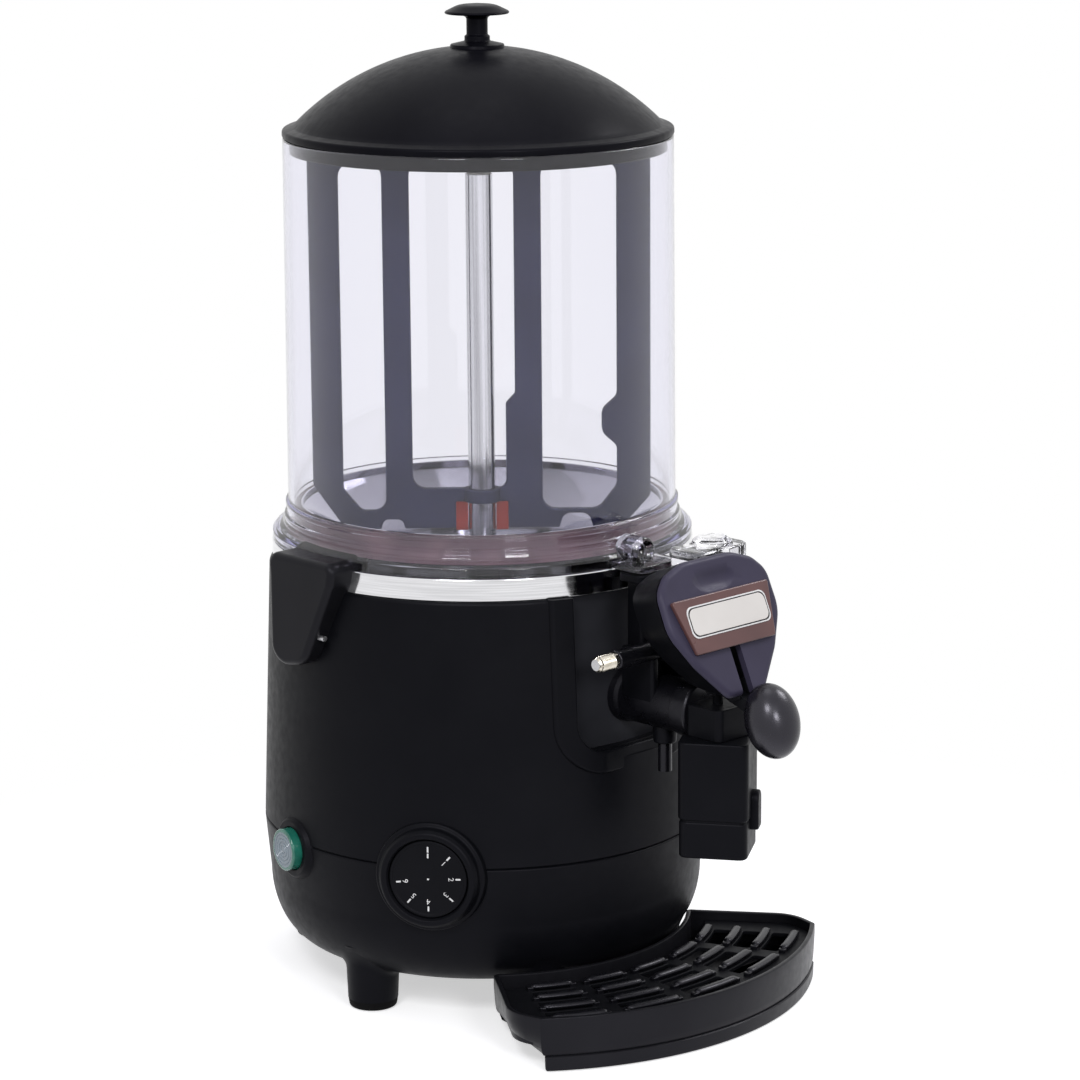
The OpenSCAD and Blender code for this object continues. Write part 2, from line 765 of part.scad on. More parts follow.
module shaft_bush() color("#e9e6dc") on_axis() {
    translate([0, 0, column_top_z - 14]) tube(column_r - 1 - fit_gap, shaft_r + run_gap, 14);
    translate([0, 0, column_top_z]) tube(column_r - 1, shaft_r + run_gap, 1);
}

module outlet_seal() color("#c02a20") on_axis() {
    forward() translate([0, outlet_z, flange_r + 0.4]) tube(outlet_r + 1.8, outlet_r + 1 + fit_gap, 3.5);
}

module tap_gasket() color("#c02a20") on_axis() {
    translate([0, -drop_f, riser_top_z]) tube(drop_r + 4, drop_r, jar_base_z - riser_top_z);
}

module tap_body() color("#17171b") on_axis() {
    difference() {
        union() {
            translate([-riser_half_w, -riser_f - riser_deep, barrel_z - 14])
                cube([2 * riser_half_w, riser_deep, riser_top_z - barrel_z + 14]);
            plan(riser_top_z - 5) translate([0, tap_bolt_f]) linear_extrude(5) rounded_square(46, 21, 6);
            forward() translate([0, barrel_z, riser_f]) cylinder(r = barrel_r, h = spout_f - riser_f);
            plan(spout_foot_z + nozzle_h) translate([0, spout_f]) linear_extrude(spout_h)
                rounded_square(spout_w, spout_w, spout_corner);
            translate([2, -spout_f - spout_w / 2 - 6, spout_foot_z + 23]) cube([14, 10, 20]);
            pivot_sleeves();
        }
        tap_passages();
        across(pivot_f, pivot_z, pin_half) cylinder(r = pin_r + fit_gap, h = 2 * pin_half);
        lever_space();
        at_tap_screws() translate([0, 0, riser_top_z - 14]) cylinder(r = 2 + fit_gap, h = 20);
    }
}

// Room for the eye of the lever between the sleeves, and for its arm above the spout.
module lever_space() {
    translate([-lever_half_w - 1, -pivot_f - 12, pivot_z - 12]) cube([2 * lever_half_w + 2, 20, 40]);
    translate([-2 * barrel_r, -spout_f - spout_w, spout_top_z]) cube([4 * barrel_r, spout_w + 22, 40]);
}

// Drop, barrel passage, valve bore and outlet, all joined.
module tap_passages() {
    translate([0, -drop_f, barrel_z]) cylinder(r = drop_r, h = riser_top_z - barrel_z + 1);
    forward() translate([0, barrel_z, drop_f]) cylinder(r = barrel_bore_r, h = spout_f - drop_f);
    translate([0, -spout_f, valve_seat_z]) cylinder(r = valve_bore_r, h = spout_top_z - valve_seat_z + 1);
    translate([0, -spout_f, spout_foot_z]) cylinder(r = valve_bore_r - 3, h = 80);
}

module pivot_sleeves() {
    across(pivot_f, pivot_z, sleeve_half) cylinder(r = sleeve_r, h = 2 * sleeve_half);
    for (s = [-1, 1]) translate([s * (lever_half_w + 4) - 3, -pivot_f - 4, barrel_z])
        cube([6, pivot_f - riser_f, pivot_z - barrel_z]);
}

module at_tap_screws() {
    for (s = [-1, 1]) translate([s * 18, -tap_bolt_f, 0]) children();
}

module tap_screws() color("#c8ccd2") on_axis() at_tap_screws() {
    translate([0, 0, riser_top_z - 13]) cylinder(r = 2, h = 15 + tongue_t);
    translate([0, 0, jar_base_z + tongue_t]) cylinder(r = tap_head_r, h = 2.6);
}

module tap_spigot() color("#3a4440") on_axis() difference() {
    translate([0, -pivot_f + 1, barrel_z - barrel_r - 21]) tube(4, 2, 23);
    forward() translate([0, barrel_z, 0]) cylinder(r = barrel_r + fit_gap, h = spout_f);
}

module valve_cap() color("#202024") on_axis() translate([0, -spout_f, 0]) {
    translate([0, 0, spout_top_z - cap_t]) tube(valve_bore_r - fit_gap, stem_r + run_gap, cap_t);
}

module nozzle() color("#202024") on_axis() {
    difference() {
        plan(spout_foot_z) translate([0, spout_f])
            linear_extrude(nozzle_h) rounded_square(spout_w - 1.6, spout_w - 1.6, spout_corner);
        translate([0, -spout_f, spout_foot_z - 1]) cylinder(r = valve_bore_r - 3, h = nozzle_h + 2);
    }
}

module pivot_pin() color("#d4d7dc") on_axis() {
    across(pivot_f, pivot_z, pin_half) cylinder(r = pin_r, h = 2 * pin_half);
}

module pin_nuts() color("#c8ccd2") on_axis() {
    for (s = [-1, 1]) translate([s > 0 ? sleeve_half : -sleeve_half - 4, -pivot_f, pivot_z])
        rotate([0, 90, 0]) tube(4.6, pin_r + fit_gap, 4);
}

// The face of the head: a wide shield that narrows to a blunt tip.
module shield_outline(inset) {
    w = shield_half_w - inset;
    hull() {
        for (s = [-1, 1]) {
            translate([s * (w - 14), shield_top_v - inset - 20]) circle(14, $fn = 40);
            translate([s * (w - 30), shield_top_v - inset - 30]) circle(30, $fn = 40);
            translate([s * (shield_tip_w - inset - 4), shield_tip_v + inset + 4]) circle(4, $fn = 24);
        }
    }
}

// The head narrows and rises from its face to its open back.
module shield_hood(inset, deep) {
    hull() on_face() {
        translate([0, 0, -shield_t]) linear_extrude(shield_t) shield_outline(inset);
        translate([0, hood_rise, -deep]) linear_extrude(1) scale(hood_taper) shield_outline(inset);
    }
}

module shield() color("#17171b") on_axis() difference() {
    union() {
        difference() {
            shield_hood(0, shield_deep);
            difference() {
                shield_hood(3, shield_deep + 1);
                on_face() translate([-shield_half_w, -100, -shield_t]) cube([2 * shield_half_w, 200, 20]);
            }
        }
        at_shield_screws() cylinder(r = 4, h = 9);
        for (s = [-1, 1]) on_face() translate([s * (lever_half_w + 3) - 1.2, shield_tip_v + 25, -shield_deep])
            cube([2.4, 31, shield_deep - 1]);
    }
    at_shield_screws() translate([0, 0, -1]) cylinder(r = 2 + fit_gap, h = 8.5);
    translate([lug_x - lug_half_w - 0.5, -lug_front_f - eps, jar_base_z - 0.5])
        cube([2 * lug_half_w + 1, lug_deep + 10, 60]);
    lever_window();
}

// The slot in the face for the arm, and the wider way behind it for the cheeks of the lever.
module lever_window() on_face() {
    translate([-slot_half, shield_tip_v - 20, -shield_deep]) cube([2 * slot_half, slot_run, shield_deep + 1]);
    translate([-lever_half_w - 1.5, shield_tip_v - 20, -shield_deep - 20])
        cube([2 * lever_half_w + 3, slot_run + 8, shield_deep + 20 - shield_t]);
}

// Screws go forward through the lug of the jar into two posts of the shield.
module at_shield_screws() {
    for (x = [lug_x - 14, lug_x]) translate([x, -lug_front_f, jar_base_z + 7.5]) forward() children();
}

module shield_screws() color("#c8ccd2") on_axis() at_shield_screws() {
    translate([0, 0, -lug_deep - 2.5]) cylinder(r = 3.5, h = 2.5);
    translate([0, 0, -lug_deep - 1]) cylinder(r = 2, h = lug_deep + 7.5);
}

module plaque() color("#6a4438") on_axis() on_face() {
    linear_extrude(plaque_t) polygon([[-37, 23.5], [37, 23.5], [31, -8.5], [-31, -8.5]]);
}

module label() color("#e2dad2") on_axis() on_face() {
    translate([0, 9.5, plaque_t]) linear_extrude(label_t) rounded_square(62, 18, 5);
}

// One round wire wound as a helix round the valve stem.
module valve_spring() color("#b8bcc2") on_axis() {
    wire_r = 0.5;
    coil_r = 6.6;
    turns = 5;
    steps = 18;
    sides = 8;
    low_z = valve_seat_z + 8.2 + wire_r;
    rise = spout_top_z - cap_t - wire_r - 0.2 - low_z;
    count = turns * steps;
    points = [for (i = [0:count], j = [0:sides - 1]) let (a = 360 * i / steps, b = 360 * j / sides)
        [(coil_r + wire_r * cos(b)) * cos(a), (coil_r + wire_r * cos(b)) * sin(a),
            low_z + rise * i / count + wire_r * sin(b)]];
    sides_faces = [for (i = [0:count - 1], j = [0:sides - 1]) let (k = (j + 1) % sides)
        [i * sides + j, (i + 1) * sides + j, (i + 1) * sides + k, i * sides + k]];
    low_end = [for (j = [0:sides - 1]) j];
    high_end = [for (j = [sides - 1:-1:0]) count * sides + j];
    translate([0, -spout_f, 0]) polyhedron(points, concat(sides_faces, [low_end, high_end]), convexity = 10);
}

module valve_piston() color("#3a3a40") on_axis() translate([0, -spout_f, 0]) {
    difference() {
        union() {
            translate([0, 0, valve_seat_z + 2]) cylinder(r = piston_r, h = 6);
            translate([0, 0, valve_seat_z + 7]) cylinder(r = stem_r, h = joint_z + 5 - valve_seat_z - 7);
        }
        translate([-20, 0, joint_z]) rotate([0, 90, 0]) cylinder(r = cross_pin_r + fit_gap, h = 40);
    }
}

module valve_seal() color("#c02a20") on_axis() translate([0, -spout_f, valve_seat_z])
    cylinder(r = piston_r, h = 2);

module cross_pin() color("#d4d7dc") on_axis() {
    across(spout_f, joint_z, lever_half_w) cylinder(r = cross_pin_r, h = 2 * lever_half_w);
}

// The lever is drawn along +X from its pivot and then turned down to the ball.
module on_lever() translate([0, -pivot_f, pivot_z]) rotate([0, 0, -90]) rotate([0, lever_drop, 0]) children();

module lever() color("#17171b") on_axis() on_lever() {
    far = (ball_f - pivot_f) / cos(lever_drop);
    cheek_run = arm_run + 9;
    slot_mid = arm_run / cos(lever_drop);
    difference() {
        union() {
            rotate([90, 0, 0]) translate([0, 0, -lever_half_w]) cylinder(r = hub_eye_r, h = 2 * lever_half_w);
            translate([0, -lever_half_w, -lever_half_h])
                cube([cheek_run, 2 * lever_half_w, 2 * lever_half_h]);
            translate([cheek_run - 1, -lever_half_h, -lever_half_h])
                cube([far - cheek_run - 6, 2 * lever_half_h, 2 * lever_half_h]);
        }
        rotate([90, 0, 0]) translate([0, 0, -30]) cylinder(r = pin_r + run_gap, h = 60);
        translate([arm_run / 2, cheek_t - lever_half_w, -10])
            cube([cheek_run - arm_run / 2 - 1.8, 2 * (lever_half_w - cheek_t), 20]);
        for (d = [-3.6, 0.8]) translate([slot_mid + d, 0, 0]) rotate([90, 0, 0]) translate([0, 0, -30])
            cylinder(r = cross_pin_r + 0.5, h = 60);
        translate([slot_mid - 3.6, -30, -cross_pin_r - 0.5]) cube([4.4, 60, 2 * cross_pin_r + 1]);
    }
}

module ball_knob() color("#17171b") on_axis() {
    lean = 18;
    difference() {
        translate([0, -ball_f, ball_z]) rotate([-lean, 0, 0]) rotate_extrude() intersection() {
            scale([ball_w / 2, ball_h / 2]) circle(1);
            translate([0, -ball_h]) square([ball_w, 2 * ball_h]);
        }
        on_lever() translate([0, -lever_half_h - fit_gap, -lever_half_h - fit_gap])
            cube([(ball_f - pivot_f) / cos(lever_drop) - 7 + fit_gap,
                2 * (lever_half_h + fit_gap), 2 * (lever_half_h + fit_gap)]);
    }
}

module lid() color("#15151a") on_axis() difference() {
    rotate_extrude() polygon(concat(
        dome_curve(dome_ball_r, asin(dome_r / dome_ball_r)),
        [[lid_lip_r - 2, jar_top_z + 5], [lid_lip_r, jar_top_z + 2.8], [lid_lip_r - 0.4, jar_top_z],
            [plug_r, jar_top_z], [plug_r, jar_top_z - plug_h], [plug_r - 3, jar_top_z - plug_h],
            [plug_r - 3, jar_top_z + 1]],
        [for (i = [14:-1:0]) dome_curve(dome_ball_r - lid_wall, asin((dome_r - 2) / dome_ball_r))[i]]));
    translate([0, 0, lid_top_z - 10]) cylinder(r = 2.5 + fit_gap, h = 20);
}

module lid_knob() color("#15151a") on_axis() difference() {
    top_z = lid_top_z + knob_h;
    rotate_extrude() polygon([
        [0, lid_top_z - 2], [15, lid_top_z - 2], [14, lid_top_z + 0.4], [9.5, lid_top_z + 3],
        [7, lid_top_z + 7],
        [6.5, top_z - 10], [8, top_z - 8], [knob_r - 1.5, top_z - 7.5], [knob_r, top_z - 6],
        [knob_r, top_z - 3], [knob_r - 2, top_z - 0.8], [0, top_z]]);
    translate([0, 0, dome_mid_z]) sphere(r = dome_ball_r + 0.02, $fn = 200);
    translate([0, 0, lid_top_z - 10]) cylinder(r = 2.5 + fit_gap, h = 24);
}

module knob_screw() color("#c8ccd2") on_axis() {
    translate([0, 0, lid_top_z - lid_wall - 2.8]) cylinder(r = 5, h = 2.5);
    translate([0, 0, lid_top_z - lid_wall - 1]) cylinder(r = 2.5, h = 16);
}

// A flat plate with four upright prongs of different radii, seen in (along, height).
module stirrer_outline() {
    top_z = hub_z + hub_h;
    wide = stirrer_reach;
    foot_z = stirrer_foot_z;
    window_z = foot_z + stirrer_window_h;
    bar_z = foot_z + stirrer_bar_h;
    difference() {
        translate([-wide, foot_z]) square([2 * wide, top_z - foot_z]);
        window(-wide + 18, -57, window_z, 8);
        window(-41, 20, bar_z, 8);
        window(36, wide - 20, window_z, 8);
        polygon([[-wide - 1, foot_z - 1], [-wide + 20, foot_z - 1], [-wide - 1, foot_z + 28]]);
        polygon([[wide + 1, foot_z - 1], [wide - 18, foot_z - 1], [wide + 1, foot_z + 20]]);
        translate([-53, foot_z]) circle(6);
        translate([56, foot_z]) circle(9.5);
        translate([-15.5, foot_z - 1]) square([31, collar_z - foot_z + 1]);
    }
    translate([14.5, bar_z - 1]) square([6, 52]);
    intersection() {
        translate([wide - 18, foot_z + 64]) scale([0.75, 1]) circle(15);
        translate([wide - 40, foot_z]) square([30, 100]);
    }
}

module window(u0, u1, low_z, r) {
    high = hub_z + hub_h - 9 - low_z;
    translate([(u0 + u1) / 2, low_z + high / 2]) rounded_square(u1 - u0, high, r);
}

module stirrer() color("#1d1d22") on_axis() rotate([0, 0, stirrer_angle]) difference() {
    union() {
        rotate([90, 0, 0]) translate([0, 0, -stirrer_t / 2]) linear_extrude(stirrer_t) stirrer_outline();
        translate([0, 0, collar_z]) cylinder(r = hub_r, h = collar_h);
        translate([0, 0, hub_z]) cylinder(r = hub_r, h = hub_h);
    }
    translate([0, 0, dish_z]) cylinder(r = column_r + slip, h = hub_z - dish_z - eps - 6);
    translate([0, 0, hub_z - 1]) hex(hex_r + slip, hex_h + 0.3);
}

module stirrer_wipers() color("#c02a20") on_axis() rotate([0, 0, stirrer_angle]) {
    for (s = [-1, 1]) translate([s * (column_r + 15.9) / 2, 0, collar_z - 8.5])
        cube([15.5 - column_r - 0.4, stirrer_t - 1, 17], center = true);
}

// The tray seen from above in (x, distance to the front): bowed front, slanted ends, hollow back.
module tray_plan(inset) {
    corner = 9;
    side_f = tray_front_f - 58;
    slant_x = tray_half_w - 42;
    offset(r = corner) offset(delta = -corner - inset) difference() {
        intersection() {
            translate([0, tray_arc_f]) circle(tray_front_r, $fn = 160);
            polygon([[-tray_half_w, side_f], [-slant_x, side_f - 60], [slant_x, side_f - 60],
                [tray_half_w, side_f], [tray_half_w, tray_front_f + 54], [-tray_half_w, tray_front_f + 54]]);
        }
        circle(tray_gap_r, $fn = 160);
        mirror([0, 1]) at_feet() circle(foot_r + tray_foot_gap);
    }
}

module drip_tray() color("#17171b") on_axis() difference() {
    union() {
        plan(tray_base_h) linear_extrude(tray_h - tray_base_h) tray_plan(0);
        plan(0) linear_extrude(tray_base_h + eps) intersection() {
            tray_plan(5);
            translate([20 - tray_half_w, 0]) square([2 * (tray_half_w - 20), 2 * tray_front_f]);
        }
        tray_tongue();
    }
    plan(tray_floor_t) linear_extrude(tray_h) tray_plan(tray_wall + 5);
    plan(grid_z) linear_extrude(tray_h) tray_plan(tray_wall);
}

// The tongue slides in under the floor of the base and keeps the tray square to it.
module tray_tongue() {
    low_z = base_floor_z - 6;
    translate([-28, -tray_gap_r - 2, low_z]) cube([56, 36, base_floor_z - slip - low_z]);
}

module drip_grid() color("#1d1d22") on_axis() plan(grid_z) linear_extrude(grid_t) difference() {
    tray_plan(tray_wall + 0.5);
    intersection() {
        grid_slots();
        tray_plan(tray_wall + 4.5);
    }
}

module grid_slots() {
    pitch = 12.6;
    long = 14;
    step = 10;
    for (row = [0:slot_rows - 1], i = [-5:5])
        translate([0, tray_arc_f]) rotate((i + (row % 2) / 2) * step)
            translate([0, tray_front_r - 14 - row * pitch]) square([long + 10 - 2 * row, 9], center = true);
}

upper_housing();
lower_base();
feet();
foot_pads();
base_screws();
handles();
handle_screws();
water_tank();
heater();
tank_spacers();
motor_bracket();
gearbox();
motor();
bracket_nuts();
thermostat();
dial_bezel();
switch_body();
switch_bezel();
cord_gland();
terminal_block();
drive_shaft();
thermostat_dial();
power_button();
jar();
floor_dish();
dish_gasket();
column_tube();
shaft_bush();
outlet_seal();
tap_gasket();
tap_body();
tap_screws();
tap_spigot();
valve_cap();
nozzle();
pivot_pin();
pin_nuts();
shield();
shield_screws();
plaque();
label();
valve_spring();
valve_piston();
valve_seal();
cross_pin();
lever();
ball_knob();
lid();
lid_knob();
knob_screw();
stirrer();
stirrer_wipers();
drip_tray();
drip_grid();
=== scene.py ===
"""Dress the hot chai dispenser: its surfaces, finishes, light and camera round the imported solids."""

import logging
import math
from collections.abc import Callable, Sequence
from dataclasses import dataclass
from enum import Enum

import bmesh
import bpy
from mathutils import Matrix, Vector


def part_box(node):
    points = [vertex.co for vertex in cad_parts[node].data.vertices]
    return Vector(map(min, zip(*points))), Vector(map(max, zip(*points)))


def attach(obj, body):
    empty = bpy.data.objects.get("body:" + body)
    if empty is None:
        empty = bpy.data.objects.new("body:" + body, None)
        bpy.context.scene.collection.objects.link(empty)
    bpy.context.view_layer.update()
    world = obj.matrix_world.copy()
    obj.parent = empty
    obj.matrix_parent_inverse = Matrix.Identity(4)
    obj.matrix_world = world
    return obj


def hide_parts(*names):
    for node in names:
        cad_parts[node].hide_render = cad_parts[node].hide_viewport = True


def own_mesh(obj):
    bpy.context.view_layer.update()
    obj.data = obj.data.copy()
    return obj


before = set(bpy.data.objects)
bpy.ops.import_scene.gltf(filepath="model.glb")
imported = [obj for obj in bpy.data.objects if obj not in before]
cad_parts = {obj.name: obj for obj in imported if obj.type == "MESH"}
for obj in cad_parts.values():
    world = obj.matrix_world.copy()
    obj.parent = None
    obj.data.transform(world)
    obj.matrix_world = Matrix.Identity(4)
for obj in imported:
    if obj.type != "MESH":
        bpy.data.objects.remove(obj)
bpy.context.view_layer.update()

LOG = logging.getLogger("dispenser")
MM = 0.001  # one millimetre in metres
MERGE = 1e-4  # millimetres within which two points are one
HAIR = 0.02  # millimetres that keep two resting faces apart
CRISP = 40.0  # angle in degrees above which an edge stays crisp

Point = tuple[float, float]
Corner = tuple[float, float, float]
Triple = tuple[float, float, float]
Socket = bpy.types.NodeSocket
Ring = list[bmesh.types.BMVert]


class Rider(Enum):
    """The bodies of the machine that a piece can ride on."""

    BASE = "base"
    DIAL = "dial"
    BUTTON = "button"
    JAR = "jar_unit"
    LEVER = "tap_lever"
    LID = "lid_unit"
    STIRRER = "stirrer_unit"
    TRAY = "tray"
    GRID = "tray_grid"


def axis_depth() -> float:
    """Depth of the machine's upright axis, in millimetres."""
    low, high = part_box("lid")
    return (low.y + high.y) / 2 / MM


AXIS_Y = axis_depth()


def turned(degrees: float, axis: str) -> Matrix:
    """A turn about the X, Y or Z axis."""
    return Matrix.Rotation(math.radians(degrees), 4, axis)


def upright(x: float = 0.0, front: float = 0.0, z: float = 0.0) -> Matrix:
    """Place a piece, in millimetres, to the right, to the front of the axis and up."""
    return Matrix.Translation((x, AXIS_Y - front, z))


def facing(azimuth: float, z: float) -> Matrix:
    """Turn local +Z outward from the axis.

    Args:
        azimuth: direction in degrees, counted from the front toward the right.
        z: height.

    Returns:
        The place of the piece, with local -X up and local +Y to the right.
    """
    return upright(z=z) @ turned(azimuth - 90, "Z") @ turned(90, "Y")


def outward(side: int, start: float) -> Matrix:
    """Turn local +Z to the left (-1) or the right (1), from some way off the middle."""
    return Matrix.Translation((side * start, 0, 0)) @ turned(90 * side, "Y")


def spread(count: int, low: float = 0.0, high: float = 1.0) -> list[float]:
    """Evenly spaced values from low to high, both ends included."""
    return [low + (high - low) * i / (count - 1) for i in range(count)]


def arc(mid: Point, radius: float, start: float, end: float, count: int = 9) -> list[Point]:
    """Points along a circle.

    Args:
        mid: centre of the circle.
        radius: its radius.
        start: first angle in degrees.
        end: last angle in degrees.
        count: number of points.

    Returns:
        The points, both ends included.
    """
    angles = [math.radians(a) for a in spread(count, start, end)]
    return [(mid[0] + radius * math.cos(a), mid[1] + radius * math.sin(a)) for a in angles]


def hole(radius: float, front: float = 0.0) -> list[Point]:
    """A round hole, clockwise, some way to the front of the middle."""
    return list(reversed(arc((0.0, -front), radius, 0, 351, 40)))


def rounded(corners: Sequence[Corner], steps: int = 6) -> list[Point]:
    """Round the corners of a closed outline.

    Args:
        corners: x, y and corner radius of each point.
        steps: points along each round corner.

    Returns:
        The outline with its round corners.
    """
    outline: list[Point] = []
    for index, (x, y, radius) in enumerate(corners):
        here = Vector((x, y))
        before = Vector(corners[index - 1][:2]) - here
        after = Vector(corners[(index + 1) % len(corners)][:2]) - here
        opening = before.angle(after, math.pi)
        if radius <= 0 or opening > math.radians(179):
            outline.append((x, y))
            continue
        reach = min(radius / math.tan(opening / 2), before.length * 0.499, after.length * 0.499)
        radius = reach * math.tan(opening / 2)
        mid = here + (before.normalized() + after.normalized()).normalized() * radius / math.sin(opening / 2)
        first = here + before.normalized() * reach - mid
        last = here + after.normalized() * reach - mid
        sweep = math.atan2(first.x * last.y - first.y * last.x, first.dot(last))
        for share in spread(steps):
            spoke = Matrix.Rotation(sweep * share, 2) @ first
            outline.append((mid.x + spoke.x, mid.y + spoke.y))
    return outline


def panel(left: float, right: float, low: float, high: float, corner: float, top: float | None = None,
          steps: int = 6) -> list[Point]:
    """A rectangle with round corners.

    Args:
        left: x of its left side.
        right: x of its right side.
        low: y of its lower side.
        high: y of its upper side.
        corner: radius of the lower corners.
        top: radius of the upper corners, if it isn't the same.
        steps: points along each round corner.

    Returns:
        The outline, anticlockwise.
    """
    upper = corner if top is None else top
    corners = [(left, low, corner), (right, low, corner), (right, high, upper), (left, high, upper)]
    return rounded(corners, steps)


def square(half: float, corner: float, steps: int = 8) -> list[Point]:
    """A square with round corners about its own middle."""
    return panel(-half, half, -half, half, corner, steps=steps)


def inset(loop: Sequence[Point], by: float) -> list[Point]:
    """Shift a closed outline to the left of its direction of travel.

    Args:
        loop: the outline; anticlockwise round solid, clockwise round a hole.
        by: distance to shift.

    Returns:
        The shifted outline, with as many points.
    """
    moved: list[Point] = []
    for index, here in enumerate(loop):
        back = Vector(here) - Vector(loop[index - 1])
        ahead = Vector(loop[(index + 1) % len(loop)]) - Vector(here)
        sides = [Vector((-v.y, v.x)).normalized() for v in (back, ahead)]
        mitre = (sides[0] + sides[1]).normalized()
        stretch = max(mitre.dot(sides[0]), 0.4)
        moved.append((here[0] + mitre.x * by / stretch, here[1] + mitre.y * by / stretch))
    return moved


def edge_steps(radius: float, steps: int = 4) -> list[Point]:
    """Inset and drop of each step round an edge, from its side to its top."""
    turns = [math.radians(a) for a in spread(steps + 1, 0, 90)]
    return [(radius * (1 - math.cos(a)), radius * (1 - math.sin(a))) for a in turns]


class Shape:
    """A mesh in the making, in millimetres."""

    def __init__(self) -> None:
        """Start with an empty mesh."""
        self.mesh = bmesh.new()

    def ring(self, points: Sequence[Sequence[float]]) -> Ring:
        """Add one ring of points."""
        return [self.mesh.verts.new(p) for p in points]

    def layer(self, loop: Sequence[Point], by: float, z: float) -> Ring:
        """Add an outline at a height, shifted inward by a distance."""
        return self.ring([(*p, z) for p in inset(loop, by)])

    def bridge(self, low: Ring, high: Ring, closed: bool = True) -> None:
        """Join two rings of equal length, or a ring and a single point, with faces.

        Args:
            low: first ring.
            high: second ring.
            closed: whether the rings go all the way round.
        """
        count = max(len(low), len(high))
        for i in range(count if closed else count - 1):
            j = (i + 1) % count
            corners = [low[i % len(low)], low[j % len(low)], high[j % len(high)], high[i % len(high)]]
            unique = list(dict.fromkeys(corners))
            if len(unique) > 2:
                self.mesh.faces.new(unique)

    def loft(self, rings: Sequence[Ring], closed: bool = True) -> None:
        """Join a row of rings one after the other."""
        for low, high in zip(rings, rings[1:]):
            self.bridge(low, high, closed)

    def skin(self, rings: Sequence[Ring]) -> "Shape":
        """Join a row of rings and close both of its ends.

        Args:
            rings: the rings in order.

        Returns:
            This shape.
        """
        self.loft(rings)
        self.mesh.faces.new(rings[0])
        self.mesh.faces.new(rings[-1])
        return self

    def lathe(self, outline: Sequence[Point], turns: int = 128, closed: bool = True) -> "Shape":
        """Turn an outline of radius and height about local Z.

        Args:
            outline: radius and height of each point.
            turns: number of steps round the axis.
            closed: whether the outline joins up with its start.

        Returns:
            This shape.
        """
        rings: list[Ring] = []
        for radius, z in outline:
            around = [math.tau * i / turns for i in range(turns)]
            spokes = [(radius * math.cos(a), radius * math.sin(a), z) for a in around]
            rings.append(self.ring(spokes if radius > MERGE else [(0.0, 0.0, z)]))
        self.loft(rings + rings[:1] if closed else rings)
        return self

    def stack(self, loop: Sequence[Point], steps: Sequence[Point]) -> "Shape":
        """Raise an outline, anticlockwise, through steps of inset and height, and close both ends."""
        return self.skin([self.layer(loop, by, z) for by, z in steps])

    def prism(self, loops: Sequence[Sequence[Point]], low: float, high: float, edge: float) -> "Shape":
        """Raise an outline with holes to a plate with round edges.

        Args:
            loops: the outline anticlockwise, then its holes clockwise.
            low: height of the underside.
            high: height of the top.
            edge: radius of the edges.

        Returns:
            This shape.
        """
        above = [(by, high - drop) for by, drop in edge_steps(edge)]
        below = [(by, low + drop) for by, drop in reversed(edge_steps(edge))]
        ends: tuple[list[Ring], list[Ring]] = ([], [])
        for loop in loops:
            rings = [self.layer(loop, by, z) for by, z in below + above]
            self.loft(rings)
            ends[0].append(rings[0])
            ends[1].append(rings[-1])
        for end in ends:
            self.fill(end)
        return self

    def fill(self, rings: Sequence[Ring]) -> None:
        """Close a flat face.

        Args:
            rings: the ring that bounds the face, then those of the holes in it.
        """
        if len(rings) == 1:
            self.mesh.faces.new(rings[0])
            return
        edges = [self.mesh.edges.get((r[i - 1], r[i])) for r in rings for i in range(len(r))]
        bmesh.ops.triangle_fill(self.mesh, edges=edges, use_beauty=True)

    def shift(self, rule: Callable[[Vector], Vector]) -> "Shape":
        """Move every point.

        Args:
            rule: gives the new place of a point.

        Returns:
            This shape.
        """
        for vert in self.mesh.verts:
            vert.co = rule(vert.co)
        return self

    def digits(self, number: str, height: float) -> "Shape":
        """Add the raised digits of a number, centred.

        Args:
            number: the digits.
            height: size of the type.

        Returns:
            This shape.
        """
        curve = bpy.data.curves.new("digits", "FONT")
        curve.body = number
        curve.size = height
        curve.align_x = "CENTER"
        curve.align_y = "CENTER"
        curve.extrude = 0.06
        letters = bpy.data.objects.new("digits", curve)
        self.mesh.from_mesh(letters.to_mesh())
        letters.to_mesh_clear()
        bpy.data.objects.remove(letters)
        bpy.data.curves.remove(curve)
        return self

    def add(self, other: "Shape", place: Matrix) -> "Shape":
        """Take in a copy of another shape.

        Args:
            other: the shape to copy.
            place: where its local frame is in this one.

        Returns:
            This shape.
        """
        part = bpy.data.meshes.new("part")
        other.mesh.to_mesh(part)
        part.transform(place)
        self.mesh.from_mesh(part)
        bpy.data.meshes.remove(part)
        return self


